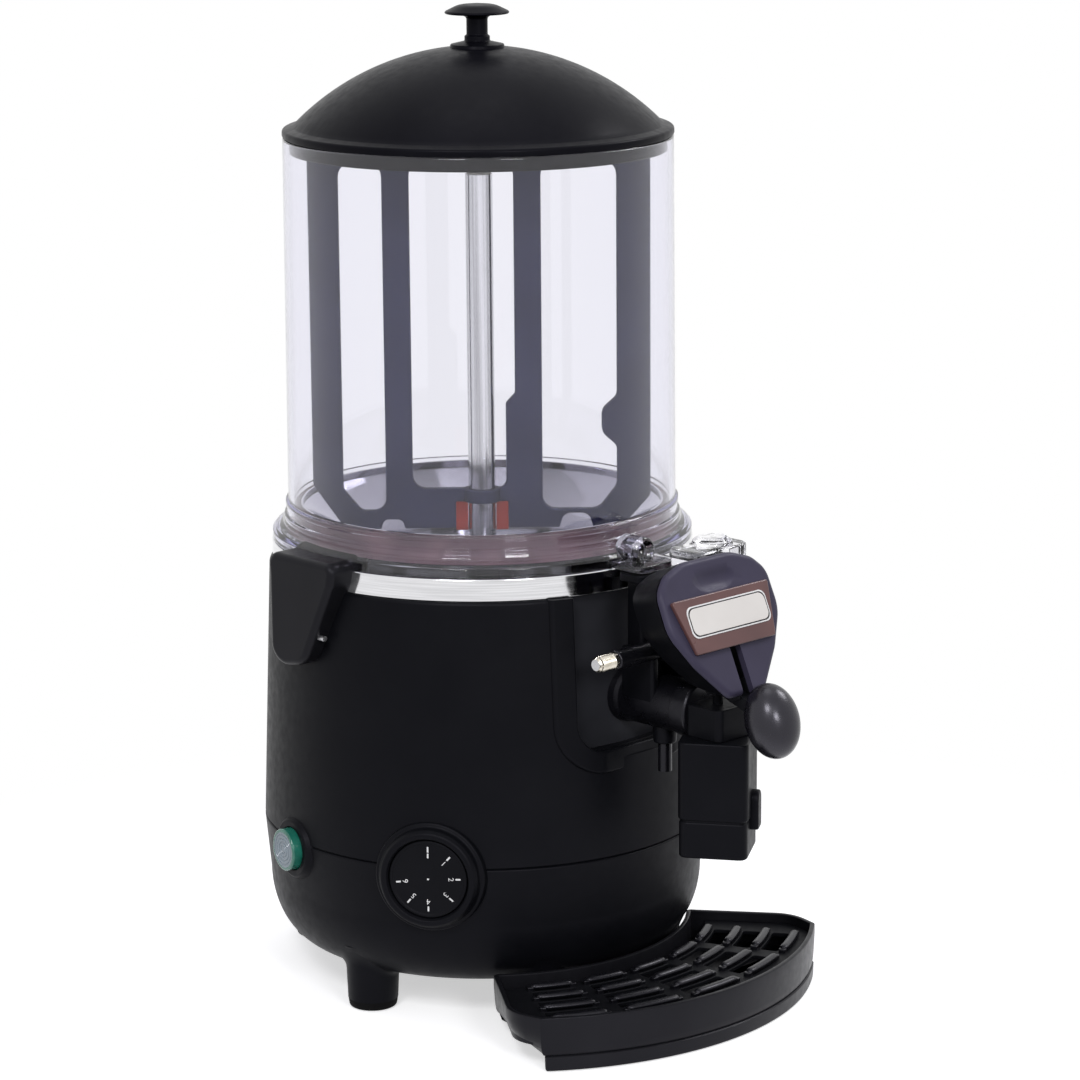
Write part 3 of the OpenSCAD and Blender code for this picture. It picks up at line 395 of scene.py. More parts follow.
class Nodes:
    """The node tree of a material or a world, empty at first."""

    def __init__(self, holder: bpy.types.Material | bpy.types.World) -> None:
        """Clear the tree.

        Args:
            holder: the material or world that has the tree.
        """
        holder.use_nodes = True
        self.tree = holder.node_tree
        self.tree.nodes.clear()

    def node(self, kind: str, **values: object) -> bpy.types.Node:
        """Add a node.

        Args:
            kind: Blender's name for its type.
            values: constants for its sockets by name, with _ for a space.

        Returns:
            The node.
        """
        made = self.tree.nodes.new(kind)
        for name, value in values.items():
            made.inputs[name.replace("_", " ")].default_value = value
        return made

    def join(self, source: Socket, target: Socket) -> None:
        """Link two sockets."""
        self.tree.links.new(source, target)

    def value(self, operation: str, first: Socket, second: Socket | float) -> Socket:
        """Work out one value from two.

        Args:
            operation: Blender's name for the sum.
            first: the first value.
            second: the second value, or a constant.

        Returns:
            The outcome.
        """
        made = self.node("ShaderNodeMath")
        made.operation = operation
        self.join(first, made.inputs[0])
        if isinstance(second, float):
            made.inputs[1].default_value = second
        else:
            self.join(second, made.inputs[1])
        return made.outputs["Value"]

    def mix(self, share: Socket, first: Socket, second: Socket) -> Socket:
        """Mix two shaders.

        Args:
            share: nought for the first shader and one for the second.
            first: the first shader.
            second: the second shader.

        Returns:
            The mixed shader.
        """
        made = self.node("ShaderNodeMixShader")
        self.join(share, made.inputs["Fac"])
        self.join(first, made.inputs[1])
        self.join(second, made.inputs[2])
        return made.outputs["Shader"]

    def seen(self) -> Socket:
        """One for a ray from the camera, off a gloss or through glass, and nought for the rest.

        Returns:
            The value.
        """
        rays = self.node("ShaderNodeLightPath")
        total = rays.outputs["Is Camera Ray"]
        for name in ("Is Glossy Ray", "Is Transmission Ray"):
            total = self.value("MAXIMUM", total, rays.outputs[name])
        return total


class Graph(Nodes):
    """The nodes of one material, round a single surface shader."""

    def __init__(self, name: str) -> None:
        """Make the material and its shader.

        Args:
            name: name of the material.
        """
        self.material = bpy.data.materials.new(name)
        super().__init__(self.material)
        self.shader = self.node("ShaderNodeBsdfPrincipled")
        output = self.node("ShaderNodeOutputMaterial")
        self.join(self.shader.outputs["BSDF"], output.inputs["Surface"])
        self.inside = output.inputs["Volume"]

    def set(self, **values: object) -> None:
        """Set constants on the shader's own sockets, with _ for a space."""
        for name, value in values.items():
            self.shader.inputs[name.replace("_", " ")].default_value = value

    def noise(self, scale: Triple, detail: float = 3.0) -> Socket:
        """Noise over the object's own coordinates.

        Args:
            scale: how many features there are to a metre along each axis.
            detail: how many finer layers it has.

        Returns:
            The noise factor.
        """
        coords = self.node("ShaderNodeTexCoord")
        mapping = self.node("ShaderNodeMapping", Scale=scale)
        self.join(coords.outputs["Object"], mapping.inputs["Vector"])
        made = self.node("ShaderNodeTexNoise", Scale=1.0, Detail=detail)
        self.join(mapping.outputs["Vector"], made.inputs["Vector"])
        return made.outputs["Fac"]

    def spread(self, factor: Socket, low: float, high: float, target: str) -> None:
        """Drive a shader socket between two values.

        Args:
            factor: the noise that drives it.
            low: value where the noise is low.
            high: value where the noise is high.
            target: name of the socket.
        """
        made = self.node("ShaderNodeMapRange", From_Min=0.3, From_Max=0.7, To_Min=low, To_Max=high)
        self.join(factor, made.inputs["Value"])
        self.join(made.outputs["Result"], self.shader.inputs[target])

    def tones(self, factor: Socket, dark: Triple, pale: Triple) -> None:
        """Drive the base colour between two tones.

        Args:
            factor: the noise that drives it.
            dark: tone where the noise is low.
            pale: tone where the noise is high.
        """
        made = self.node("ShaderNodeValToRGB")
        for element, position, tone in zip(made.color_ramp.elements, (0.3, 0.7), (dark, pale)):
            element.position = position
            element.color = (*tone, 1)
        self.join(factor, made.inputs["Fac"])
        self.join(made.outputs["Color"], self.shader.inputs["Base Color"])

    def relief(self, factor: Socket, strength: float, height: float) -> None:
        """Give the surface a bump.

        Args:
            factor: the noise that raises it.
            strength: how strongly it shows.
            height: its height in metres.
        """
        made = self.node("ShaderNodeBump", Strength=strength, Distance=height)
        self.join(factor, made.inputs["Height"])
        self.join(made.outputs["Normal"], self.shader.inputs["Normal"])


class Finish:
    """A finish that makes its node material once and hands it out again."""

    made: dict[str, bpy.types.Material] = {}
    name: str

    def material(self) -> bpy.types.Material:
        """The finish as a node material.

        Returns:
            The material.
        """
        if self.name not in Finish.made:
            graph = Graph(self.name)
            self.paint(graph)
            Finish.made[self.name] = graph.material
        return Finish.made[self.name]

    def paint(self, graph: Graph) -> None:
        """Set up the nodes of the material."""
        raise NotImplementedError


def even(value: float) -> Triple:
    """The same value three times, as an even scale or a grey tone."""
    return (value, value, value)


@dataclass(frozen=True)
class Moulding(Finish):
    """Moulded plastic or rubber with a fine grain and slightly uneven gloss."""

    name: str
    dark: Triple
    pale: Triple
    roughness: float = 0.36
    specular: float = 0.1
    grain: float = 0.08
    grain_scale: float = 2200.0
    coat: float = 0.0
    grain_height: float = 0.0002
    cloud_scale: float = 26.0
    gloss_scale: float = 180.0
    gloss_tint: Triple = (0.9, 0.88, 1.0)
    coat_roughness: float = 0.12

    def paint(self, graph: Graph) -> None:
        """Cloud the colour and gloss, and raise a fine grain.

        Args:
            graph: the nodes to set up.
        """
        graph.set(Specular_IOR_Level=self.specular, Specular_Tint=(*self.gloss_tint, 1),
                  Coat_Weight=self.coat, Coat_Roughness=self.coat_roughness)
        graph.tones(graph.noise(even(self.cloud_scale)), self.dark, self.pale)
        gloss = graph.noise(even(self.gloss_scale), 5.0)
        graph.spread(gloss, self.roughness - 0.05, self.roughness + 0.06, "Roughness")
        graph.relief(graph.noise(even(self.grain_scale), 2.0), self.grain, self.grain_height)


@dataclass(frozen=True)
class ClearPlastic(Finish):
    """Clear polycarbonate that tints light by the length of its way through."""

    name: str
    tint: Triple
    density: float
    ior: float = 1.45
    roughness: float = 0.03
    mark_scale: float = 60.0
    wave: float = 0.02
    wave_scale: float = 22.0
    wave_height: float = 0.0006

    def paint(self, graph: Graph) -> None:
        """Let light through, with faint marks in the gloss.

        Args:
            graph: the nodes to set up.
        """
        graph.set(Base_Color=(1, 1, 1, 1), Transmission_Weight=1.0, IOR=self.ior)
        marks = graph.noise(even(self.mark_scale))
        graph.spread(marks, self.roughness * 0.5, self.roughness * 1.5, "Roughness")
        graph.relief(graph.noise(even(self.wave_scale)), self.wave, self.wave_height)
        depth = graph.node("ShaderNodeVolumeAbsorption", Color=(*self.tint, 1), Density=self.density)
        graph.join(depth.outputs["Volume"], graph.inside)


@dataclass(frozen=True)
class Steel(Finish):
    """Polished or drawn metal with lines along one direction."""

    name: str
    dark: Triple
    pale: Triple
    roughness: float = 0.14
    lines: Triple = (20.0, 20.0, 900.0)
    depth: float = 0.03
    line_height: float = 0.0001

    def paint(self, graph: Graph) -> None:
        """Streak the colour, gloss and relief along the lines.

        Args:
            graph: the nodes to set up.
        """
        graph.set(Metallic=1.0)
        graph.tones(graph.noise(self.lines), self.dark, self.pale)
        graph.spread(graph.noise(self.lines, 4.0), self.roughness * 0.7, self.roughness * 1.4, "Roughness")
        graph.relief(graph.noise(self.lines, 2.0), self.depth, self.line_height)


@dataclass(frozen=True)
class TintedCap(Finish):
    """Translucent coloured plastic of a lit button."""

    name: str
    dark: Triple
    pale: Triple
    clear_share: float = 0.35
    ior: float = 1.46
    coat: float = 0.5
    coat_roughness: float = 0.08
    cloud_scale: float = 140.0
    gloss_scale: float = 300.0
    gloss: Point = (0.14, 0.24)

    def paint(self, graph: Graph) -> None:
        """Let some light into the coloured body.

        Args:
            graph: the nodes to set up.
        """
        graph.set(Transmission_Weight=self.clear_share, IOR=self.ior,
                  Coat_Weight=self.coat, Coat_Roughness=self.coat_roughness)
        graph.tones(graph.noise(even(self.cloud_scale)), self.dark, self.pale)
        graph.spread(graph.noise(even(self.gloss_scale)), *self.gloss, "Roughness")


BLACK_SHELL = Moulding("satin_black_shell", (0.0028, 0.003, 0.0042), (0.0044, 0.0046, 0.006),
                       roughness=0.42, specular=0.08)
BLACK_LID = Moulding("gloss_black_lid", (0.0034, 0.0034, 0.0052), (0.005, 0.005, 0.0072),
                     roughness=0.34, specular=0.05)
BLACK_BALL = Moulding("gloss_black_ball", (0.006, 0.0055, 0.008), (0.009, 0.0085, 0.012),
                      roughness=0.27, specular=0.5)
BLACK_GLOSS = Moulding("gloss_black_tap", (0.003, 0.003, 0.0044), (0.0046, 0.0046, 0.0062),
                       roughness=0.3, specular=0.3)
BLACK_TRAY = Moulding("satin_black_tray", (0.006, 0.006, 0.0076), (0.009, 0.009, 0.011),
                      roughness=0.34, specular=0.14)
# The face of the tap's head is the same black plastic as its hood, painted lighter to stand for the light
# falling on its upturned face.
BLACK_HEAD_PAINTED_LIGHT = Moulding("satin_blue_black_head_painted_light", (0.036, 0.032, 0.056), (0.046, 0.041, 0.072),
                      roughness=0.42, specular=0.2)
BLACK_DIAL = Moulding("matt_black_dial", (0.003, 0.0032, 0.0042), (0.005, 0.0052, 0.0064),
                      roughness=0.5, specular=0.08)
# The recess liner is the shell's black plastic, painted several times lighter to stand for the light that
# reaches into the recess.
BLACK_RECESS_PAINTED_LIGHT = Moulding("matt_black_recess_painted_light", (0.016, 0.0165, 0.02), (0.024, 0.0245, 0.029),
                        roughness=0.5, specular=0.1)
BLACK_RUBBER = Moulding("black_rubber", even(0.004), even(0.007), roughness=0.7, specular=0.06, grain=0.2)
STIRRER_BLACK = Moulding("blue_grey_stirrer", (0.032, 0.033, 0.074), (0.044, 0.046, 0.096),
                         roughness=0.5, specular=0.06)
RED_SILICONE = Moulding("red_silicone", (0.26, 0.02, 0.014), (0.36, 0.035, 0.022),
                        roughness=0.5, specular=0.3, grain=0.1, grain_scale=900.0)
GASKET_BROWN = Moulding("brown_gasket", (0.08, 0.054, 0.066), (0.21, 0.13, 0.145),
                        roughness=0.45, specular=0.2, grain=0.1, grain_scale=900.0)
PALE_PLASTIC = Moulding("off_white_plastic", (0.6, 0.58, 0.52), (0.7, 0.68, 0.62),
                        roughness=0.5, specular=0.4)
GREY_PAINT = Moulding("grey_motor_paint", (0.03, 0.032, 0.036), (0.05, 0.052, 0.057),
                      roughness=0.5, specular=0.4, grain=0.2)
BROWN_PLAQUE = Moulding("brown_plaque", (0.09, 0.04, 0.037), (0.13, 0.058, 0.053),
                        roughness=0.32, specular=0.35, grain=0.05, grain_scale=600.0, coat=0.3)
CREAM_LABEL = Moulding("cream_label", (0.7, 0.67, 0.64), (0.77, 0.74, 0.71),
                       roughness=0.4, specular=0.3, grain=0.04, grain_scale=1200.0, coat=0.2)
WHITE_PRINT = Moulding("white_print", even(0.74), even(0.82), roughness=0.5, specular=0.3)
DARK_PRINT = Moulding("dark_print", (0.02, 0.018, 0.018), (0.03, 0.027, 0.027), roughness=0.5, specular=0.2)
BUTTON_FACE = Moulding("pale_button_face", (0.17, 0.22, 0.26), (0.26, 0.32, 0.36),
                       roughness=0.3, specular=0.4, grain=0.05, grain_scale=800.0, coat=0.4)
CLEAR_JAR = ClearPlastic("clear_lilac_jar", (0.32, 0.3, 0.66), density=32.0)
CLEAR_LUG = ClearPlastic("clear_outlet_plastic", (0.6, 0.58, 0.74), density=7.0)
BRIGHT_STEEL = Steel("bright_steel_rim", (0.66, 0.66, 0.68), (0.82, 0.82, 0.84), roughness=0.1)
# The column's drawn lines are real, but the strong dark and pale bands along it are painted reflections.
COLUMN_STEEL_PAINTED_REFLECTIONS = Steel("drawn_steel_column_painted_reflections", (0.3, 0.3, 0.31), (0.86, 0.86, 0.88),
                     roughness=0.12, lines=(330.0, 330.0, 3.0))
DISH_STEEL = Steel("pressed_steel_dish", (0.36, 0.35, 0.41), (0.48, 0.47, 0.54),
                   roughness=0.07, lines=even(14.0), depth=0.01)
PLAIN_STEEL = Steel("plain_steel", (0.5, 0.5, 0.52), (0.64, 0.64, 0.66), roughness=0.3, lines=even(300.0))
PIN_STEEL = Steel("brassy_steel_pin", (0.5, 0.46, 0.38), (0.68, 0.64, 0.56),
                  roughness=0.24, lines=even(260.0))
HOT_STEEL = Steel("heat_tinted_steel", (0.2, 0.17, 0.15), (0.32, 0.29, 0.26),
                  roughness=0.4, lines=even(120.0))
GREEN_CAP = TintedCap("green_button_cap", (0.01, 0.17, 0.12), (0.03, 0.28, 0.2))


def even_shading(piece: bpy.types.Object) -> None:
    """Weigh the shading of a piece by the size of its faces."""
    weighted = piece.modifiers.new("even_shading", "WEIGHTED_NORMAL")
    weighted.keep_sharp = True


def smooth(piece: bpy.types.Object, sharp: float = CRISP) -> None:
    """Shade a piece smoothly, apart from edges over an angle.

    Args:
        piece: the piece to shade.
        sharp: angle in degrees above which an edge stays crisp.
    """
    piece.data.polygons.foreach_set("use_smooth", [True] * len(piece.data.polygons))
    piece.data.set_sharp_from_angle(angle=math.radians(sharp))
    even_shading(piece)


def put(name: str, shape: Shape, place: Matrix) -> bpy.types.Object:
    """Put a shape into the scene as an object in metres.

    Args:
        name: name of the object.
        shape: its mesh in millimetres, which is used up.
        place: where its local frame is.

    Returns:
        The object.
    """
    data = bpy.data.meshes.new(name)
    shape.mesh.to_mesh(data)
    shape.mesh.free()
    data.transform(Matrix.Scale(MM, 4) @ place)
    made = bpy.data.objects.new(name, data)
    bpy.context.scene.collection.objects.link(made)
    return made


def make(name: str, shape: Shape, place: Matrix, rider: Rider, finish: Finish, *nodes: str,
         sharp: float = CRISP) -> bpy.types.Object:
    """Turn a shape into a piece of the machine.

    Args:
        name: name of the piece.
        shape: its mesh in millimetres.
        place: where its local frame is.
        rider: the body that it rides on.
        finish: its finish.
        nodes: CAD nodes that it stands for.
        sharp: angle in degrees above which an edge stays crisp.

    Returns:
        The piece.
    """
    bmesh.ops.remove_doubles(shape.mesh, verts=shape.mesh.verts, dist=MERGE)
    bmesh.ops.recalc_face_normals(shape.mesh, faces=shape.mesh.faces)
    piece = put(name, shape, place)
    piece.data.materials.append(finish.material())
    smooth(piece, sharp)
    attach(piece, rider.value)
    if nodes:
        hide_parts(*nodes)
    LOG.info("made %s on %s", name, rider.value)
    return piece


def carve(piece: bpy.types.Object, tool: Shape, place: Matrix) -> None:
    """Cut a shape out of a piece.

    Args:
        piece: the piece to cut.
        tool: the shape to take away, in millimetres.
        place: where the tool's local frame is.
    """
    bmesh.ops.recalc_face_normals(tool.mesh, faces=tool.mesh.faces)
    cutter = put("tool", tool, place)
    cut = piece.modifiers.new("cut", "BOOLEAN")
    cut.operation = "DIFFERENCE"
    cut.solver = "EXACT"
    cut.object = cutter
    piece.modifiers.move(len(piece.modifiers) - 1, 0)
    graph = bpy.context.evaluated_depsgraph_get()
    piece.modifiers["even_shading"].show_viewport = False
    graph.update()
    cut_mesh = bpy.data.meshes.new_from_object(piece.evaluated_get(graph))
    piece.modifiers.clear()
    piece.data = cut_mesh
    bpy.data.objects.remove(cutter)
    smooth(piece)


def soften(node: str, finish: Finish, width: float) -> None:
    """Keep a CAD node, with a finish and with its sharp edges rounded.

    Args:
        node: name of the node.
        finish: its finish.
        width: width of the rounding in millimetres.
    """
    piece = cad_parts[node]
    dress(node, finish)
    weld = piece.modifiers.new("weld", "WELD")
    weld.merge_threshold = 1e-6
    bevel = piece.modifiers.new("soft_edges", "BEVEL")
    bevel.width = width * MM
    bevel.segments = 3
    bevel.limit_method = "ANGLE"
    bevel.angle_limit = math.radians(38)
    bevel.harden_normals = False
    even_shading(piece)


def dress(node: str, finish: Finish) -> None:
    """Give a carried-over CAD node its finish.

    Args:
        node: name of the node.
        finish: its finish.
    """
    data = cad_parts[node].data
    data.materials.clear()
    data.materials.append(finish.material())


@dataclass(frozen=True)
class Softbox:
    """A square lamp: its place and side in metres, and its power in watts."""

    name: str
    spot: Triple
    side: float
    power: float


@dataclass
class Studio:
    """Camera, lamps and backdrop, in metres and degrees, and a floor in millimetres."""

    distance: float = 2.192
    azimuth: float = 44.0
    height: float = 0.759
    pitch: float = 12.79
    yaw: float = 0.894
    roll: float = 0.43
    lens: float = 125.6
    sensor: float = 36.0
    room_light: float = 0.45
    room_tint: Triple = (0.94, 0.94, 1.0)
    lamp_aim_z: float = 0.28
    lamps: tuple[Softbox, ...] = (
        Softbox("key_softbox", (-1.75, -0.95, 1.75), side=0.6, power=22.0),
        Softbox("side_softbox", (1.5, -0.55, 1.7), side=0.7, power=14.0),
        Softbox("front_softbox", (-0.9, -1.9, 1.05), side=0.5, power=14.0),
        Softbox("top_softbox", (0.1, 0.2, 2.2), side=0.9, power=4.0),
    )
    floor_half: float = 4000.0
    floor_z: float = -0.5
    floor_tint: Triple = (0.86, 0.86, 0.87)
    floor_glow: float = 0.55
    fade_start: float = 0.2
    fade_end: float = 0.55

    def build(self) -> None:
        """Set up the camera, the lamps, the world and the floor."""
        bpy.context.scene.view_settings.view_transform = "Standard"
        self.camera()
        for softbox in self.lamps:
            self.lamp(softbox)
        self.world()
        self.floor()

    def camera(self) -> None:
        """Stand the camera where the photograph was taken from."""
        data = bpy.data.cameras.new("camera")
        data.lens = self.lens
        data.sensor_width = self.sensor
        data.clip_end = 100.0
        camera = bpy.data.objects.new("camera", data)
        heading = math.radians(self.azimuth)
        camera.location = (-self.distance * math.sin(heading),
                           AXIS_Y * MM - self.distance * math.cos(heading), self.height)
        aim = turned(-self.azimuth - self.yaw, "Z") @ turned(90 - self.pitch, "X") @ turned(-self.roll, "Z")
        camera.rotation_euler = aim.to_euler()
        bpy.context.scene.collection.objects.link(camera)
        bpy.context.scene.camera = camera

    def lamp(self, softbox: Softbox) -> None:
        """Hang a softbox that looks at the middle of the machine.

        Args:
            softbox: the lamp to hang.
        """
        data = bpy.data.lights.new(softbox.name, "AREA")
        data.size = softbox.side
        data.energy = softbox.power
        lamp = bpy.data.objects.new(softbox.name, data)
        lamp.location = softbox.spot
        aim = Vector((0, AXIS_Y * MM, self.lamp_aim_z)) - Vector(softbox.spot)
        lamp.rotation_euler = aim.to_track_quat("-Z", "Y").to_euler()
        bpy.context.scene.collection.objects.link(lamp)

    def world(self) -> None:
        """Show white behind the machine, in metal and in glass, and a softer studio to the rest."""
        world = bpy.data.worlds.new("studio")
        nodes = Nodes(world)
        room = nodes.node("ShaderNodeBackground", Color=(*self.room_tint, 1), Strength=self.room_light)
        white = nodes.node("ShaderNodeBackground", Color=(1, 1, 1, 1))
        shown = nodes.mix(nodes.seen(), room.outputs["Background"], white.outputs["Background"])
        nodes.join(shown, nodes.node("ShaderNodeOutputWorld").inputs["Surface"])
        bpy.context.scene.world = world

    def floor(self) -> None:
        """Lay a pale floor that keeps the machine's shadow and fades into the backdrop."""
        half = self.floor_half
        shape = Shape()
        corners = ((-half, -half), (half, -half), (half, half), (-half, half))
        shape.mesh.faces.new(shape.ring([(*p, self.floor_z) for p in corners]))
        floor = put("floor", shape, Matrix.Identity(4))
        floor.data.materials.append(self.floor_material())

    def floor_material(self) -> bpy.types.Material:
        """White that takes shadows near the machine and matches the backdrop farther out.

        Returns:
            The material.
        """
        material = bpy.data.materials.new("pale_floor")
        nodes = Nodes(material)
        seen = nodes.seen()
        shade = nodes.node("ShaderNodeBsdfDiffuse", Color=(*self.floor_tint, 1))
        glow = nodes.node("ShaderNodeEmission")
        nodes.join(nodes.value("MULTIPLY", seen, self.floor_glow), glow.inputs["Strength"])
        near = nodes.node("ShaderNodeAddShader")
        nodes.join(shade.outputs["BSDF"], near.inputs[0])
        nodes.join(glow.outputs["Emission"], near.inputs[1])
        far = nodes.node("ShaderNodeEmission")
        nodes.join(seen, far.inputs["Strength"])
        reach = nodes.node("ShaderNodeVectorMath")
        reach.operation = "LENGTH"
        nodes.join(nodes.node("ShaderNodeTexCoord").outputs["Object"], reach.inputs[0])
        share = nodes.node("ShaderNodeMapRange", From_Min=self.fade_start, From_Max=self.fade_end)
        share.interpolation_type = "SMOOTHSTEP"
        nodes.join(reach.outputs["Value"], share.inputs["Value"])
        shown = nodes.mix(share.outputs["Result"], near.outputs["Shader"], far.outputs["Emission"])
        nodes.join(shown, nodes.node("ShaderNodeOutputMaterial").inputs["Surface"])
        return material


@dataclass
class Housing:
    """The two black shells, the framed recess, the tank's bright rim, the feet and the handles."""

    seam_r: float = 133.0
    top_r: float = 127.0
    wall: float = 3.0
    floor_z: float = 24.0
    seam_z: float = 98.0
    seam_round: float = 1.1
    top_z: float = 254.0
    top_round: float = 1.8
    bowl_turn: float = 25.0
    bowl_rise: float = 40.0
    bowl_flat_r: float = 105.0
    band_r: float = 125.0
    band_top: float = 267.0
    band_wall: float = 1.6
    tank_r: float = 117.5
    tank_floor: float = 190.0
    tank_wall: float = 1.0
    tank_gap: float = 0.6
    tube_r: float = 10.0
    tube_top: float = 257.0
    recess_half: float = 45.0
    recess_z: float = 162.0
    recess_turn: float = 18.0
    border: float = 13.0
    border_cover: float = 5.0
    proud: float = 2.0
    seat_depth: float = 1.6
    lip_w: float = 2.5
    lip_depth: float = 9.5
    liner_r: float = 120.3
    liner_wall: float = 2.0
    foot_r: float = 15.5
    foot_flare: float = 5.0
    foot_places: tuple[Point, ...] = ((28.0, 105.0), (84.0, 105.0), (161.0, 117.0))
    pad_h: float = 5.0
    handle_root: float = 108.0
    handle_reach: float = 140.0
    handle_rise: float = 6.0
    handle_half: float = 28.5
    handle_mid: float = 6.5
    handle_lean: float = 14.0
    handle_drop: float = 54.0
    handle_edge: float = 4.0

    def build(self) -> None:
        """Make the pieces of the housing."""
        self.upper_shell()
        self.recess_frame()
        self.recess_back()
        self.bowl()
        self.tank()
        self.feet()
        self.handles()

    def side(self, z: float) -> float:
        """Radius of the upper shell at a height."""
        return self.seam_r + (self.top_r - self.seam_r) * (z - self.seam_z) / (self.top_z - self.seam_z)

    def recess_path(self) -> list[tuple[Point, Point]]:
        """The U of the recess, from its top left to its top right.

        Returns:
            Each point with its outward direction.
        """
        mid = self.recess_half - self.recess_turn
        low = self.recess_z + self.recess_turn
        path = [((-self.recess_half, z), (-1.0, 0.0)) for z in spread(16, self.top_z, low)]
        for x, start in ((-mid, 180), (mid, 270)):
            ways = arc((0, 0), 1.0, start, start + 90, 13)
            path += [((x + self.recess_turn * way[0], low + self.recess_turn * way[1]), way) for way in ways]
        path += [((self.recess_half, z), (1.0, 0.0)) for z in spread(16, low, self.top_z)]
        return path

    def within_recess(self, x: float, z: float, grow: float) -> bool:
        """Whether a point lies in the U of the recess.

        Args:
            x: the point's distance to the right.
            z: its height.
            grow: how much wider the U is taken to be.

        Returns:
            True where it does.
        """
        half = self.recess_half + grow
        bend = self.recess_turn + grow
        low = self.recess_z + self.recess_turn
        if abs(x) > half or z < low - bend:
            return False
        if z > low or abs(x) < half - bend:
            return True
        return math.hypot(abs(x) - (half - bend), z - low) < bend

    def upper_shell(self) -> None:
        """Turn the upper shell and open it where the recess is."""
        lip, bend = self.tank_r + self.tank_gap, self.top_round
        outside = [(self.side(z), z) for z in spread(60, self.seam_z + 1.2, self.top_z - 2)]
        inside = [(self.side(z) - self.wall, z) for z in spread(8, self.top_z - self.wall - 1, self.seam_z)]
        edge = arc((self.top_r - bend - 0.1, self.top_z - bend), bend, 10, 90, 6)
        outline = [(self.seam_r - 1, self.seam_z), *outside, *edge, (lip, self.top_z),
                   (lip, self.top_z - self.wall), *inside]
        shape = Shape().lathe(outline, 240)
        opened = []
        for face in shape.mesh.faces:
            mid = face.calc_center_median()
            if mid.y < 0 and self.within_recess(mid.x, mid.z, self.border_cover):
                opened.append(face)
        bmesh.ops.delete(shape.mesh, geom=opened, context="FACES")
        make("upper_shell", shape, upright(), Rider.BASE, BLACK_SHELL, "upper_housing")

    def recess_frame(self) -> None:
        """Sweep the raised frame round the recess, along the slope of the shell."""
        section = rounded([(0, -self.lip_depth, 0), (self.lip_w, -self.lip_depth, 0),
                           (self.lip_w, -self.seat_depth, 0), (self.border, -self.seat_depth, 0),
                           (self.border, self.proud, 1.7), (0, self.proud, 1.3)], 6)
        shape = Shape()
        rings = []
        for (x, z), (way_x, way_z) in self.recess_path():
            points = []
            for out, rise in section:
                here_x, here_z = x + out * way_x, z + out * way_z
                radius = self.side(here_z) + rise
                points.append((here_x, -math.sqrt(radius ** 2 - here_x ** 2), here_z))
            rings.append(shape.ring(points))
        make("recess_frame", shape.skin(rings), upright(), Rider.BASE, BLACK_SHELL)

    def recess_back(self) -> None:
        """Close the recess with a curved panel, painted lighter than the shell to stand for the light in the
        recess.
        """
        outer, inner = self.liner_r, self.liner_r - self.liner_wall
        low, high = self.recess_z - self.wall, self.top_z - 0.3
        reach = math.degrees(math.asin((self.recess_half + self.liner_wall) / outer))
        shape = Shape()
        rings = []
        for radius, z in ((inner, low), (outer, low), (outer, high), (inner, high)):
            rings.append(shape.ring([(*p, z) for p in arc((0, 0), radius, -90 - reach, -90 + reach, 40)]))
        shape.loft(rings + rings[:1], closed=False)
        for end in (0, -1):
            shape.mesh.faces.new([ring[end] for ring in rings])
        make("recess_back", shape, upright(), Rider.BASE, BLACK_RECESS_PAINTED_LIGHT)

    def bowl_curve(self, thin: float) -> list[Point]:
        """Lower curve of the bowl.

        Args:
            thin: how far inside the outer face the curve runs.

        Returns:
            Radius and height of each point, from the bowl's flat to its side.
        """
        turns = [math.radians(a) for a in spread(25, 90, 0)]
        side_z = self.floor_z + self.bowl_rise
        return [(self.bowl_flat_r + (self.bowl_turn - thin) * math.cos(a),
                 side_z - (self.bowl_rise - thin) * math.sin(a)) for a in turns]

    def bowl_height(self, radius: float) -> float:
        """Height of the outside of the bowl at a distance from the axis, short of its upright side."""
        share = min(max(radius - self.bowl_flat_r, 0.0) / self.bowl_turn, 0.985)
        return self.floor_z + self.bowl_rise * (1 - math.sqrt(1 - share ** 2))

    def bowl(self) -> None:
        """Turn the lower shell."""
        bend = self.seam_round
        seam = arc((self.seam_r - bend, self.seam_z - bend), bend, 0, 90, 5)
        outline = [(0, self.floor_z), *self.bowl_curve(0), *seam, (self.seam_r - self.wall, self.seam_z),
                   *reversed(self.bowl_curve(self.wall)), (0, self.floor_z + self.wall)]
        make("base_bowl", Shape().lathe(outline, 200), upright(), Rider.BASE, BLACK_SHELL, "lower_base")

    def tank(self) -> None:
        """Turn the steel tank with its bright rolled rim and the tube in its middle."""
        low, thin = self.tank_floor, self.tank_wall
        rim, side, tube = self.band_r, self.tank_r, self.tube_r
        band, ledge = rim - self.band_wall, self.top_z + thin
        outline = rounded([
            (tube - thin, low, 0.3), (tube - thin, self.tube_top, 0.4), (tube, self.tube_top, 0.4),
            (tube, low + thin, 2), (side - thin, low + thin, 6), (side - thin, ledge, 2),
            (band, ledge, 1.5), (band, self.band_top, 0.5), (rim, self.band_top, 0.8),
            (rim, self.top_z, 0.6), (side, self.top_z, 1), (side, low, 6)], 5)
        make("steel_tank", Shape().lathe(outline, 200), upright(), Rider.BASE, BRIGHT_STEEL, "water_tank")

    def feet(self) -> None:
        """Make the six feet, which flare into the bowl, and their pads."""
        feet = Shape()
        pads = Shape()
        pad = rounded([(0, 0, 0), (self.foot_r - 1.6, 0, 1.6), (self.foot_r - 0.8, self.pad_h, 0),
                       (0, self.pad_h, 0)], 5)
        for azimuth, distance in self.foot_places:
            for side in (-1, 1):
                x = side * distance * math.sin(math.radians(azimuth))
                y = -distance * math.cos(math.radians(azimuth))
                self.foot(feet, (x, y))
                pads.add(Shape().lathe(pad, 48), Matrix.Translation((x, y, 0)))
        make("moulded_feet", feet, upright(), Rider.BASE, BLACK_SHELL, "feet")
        make("rubber_feet", pads, upright(), Rider.BASE, BLACK_RUBBER, "foot_pads")

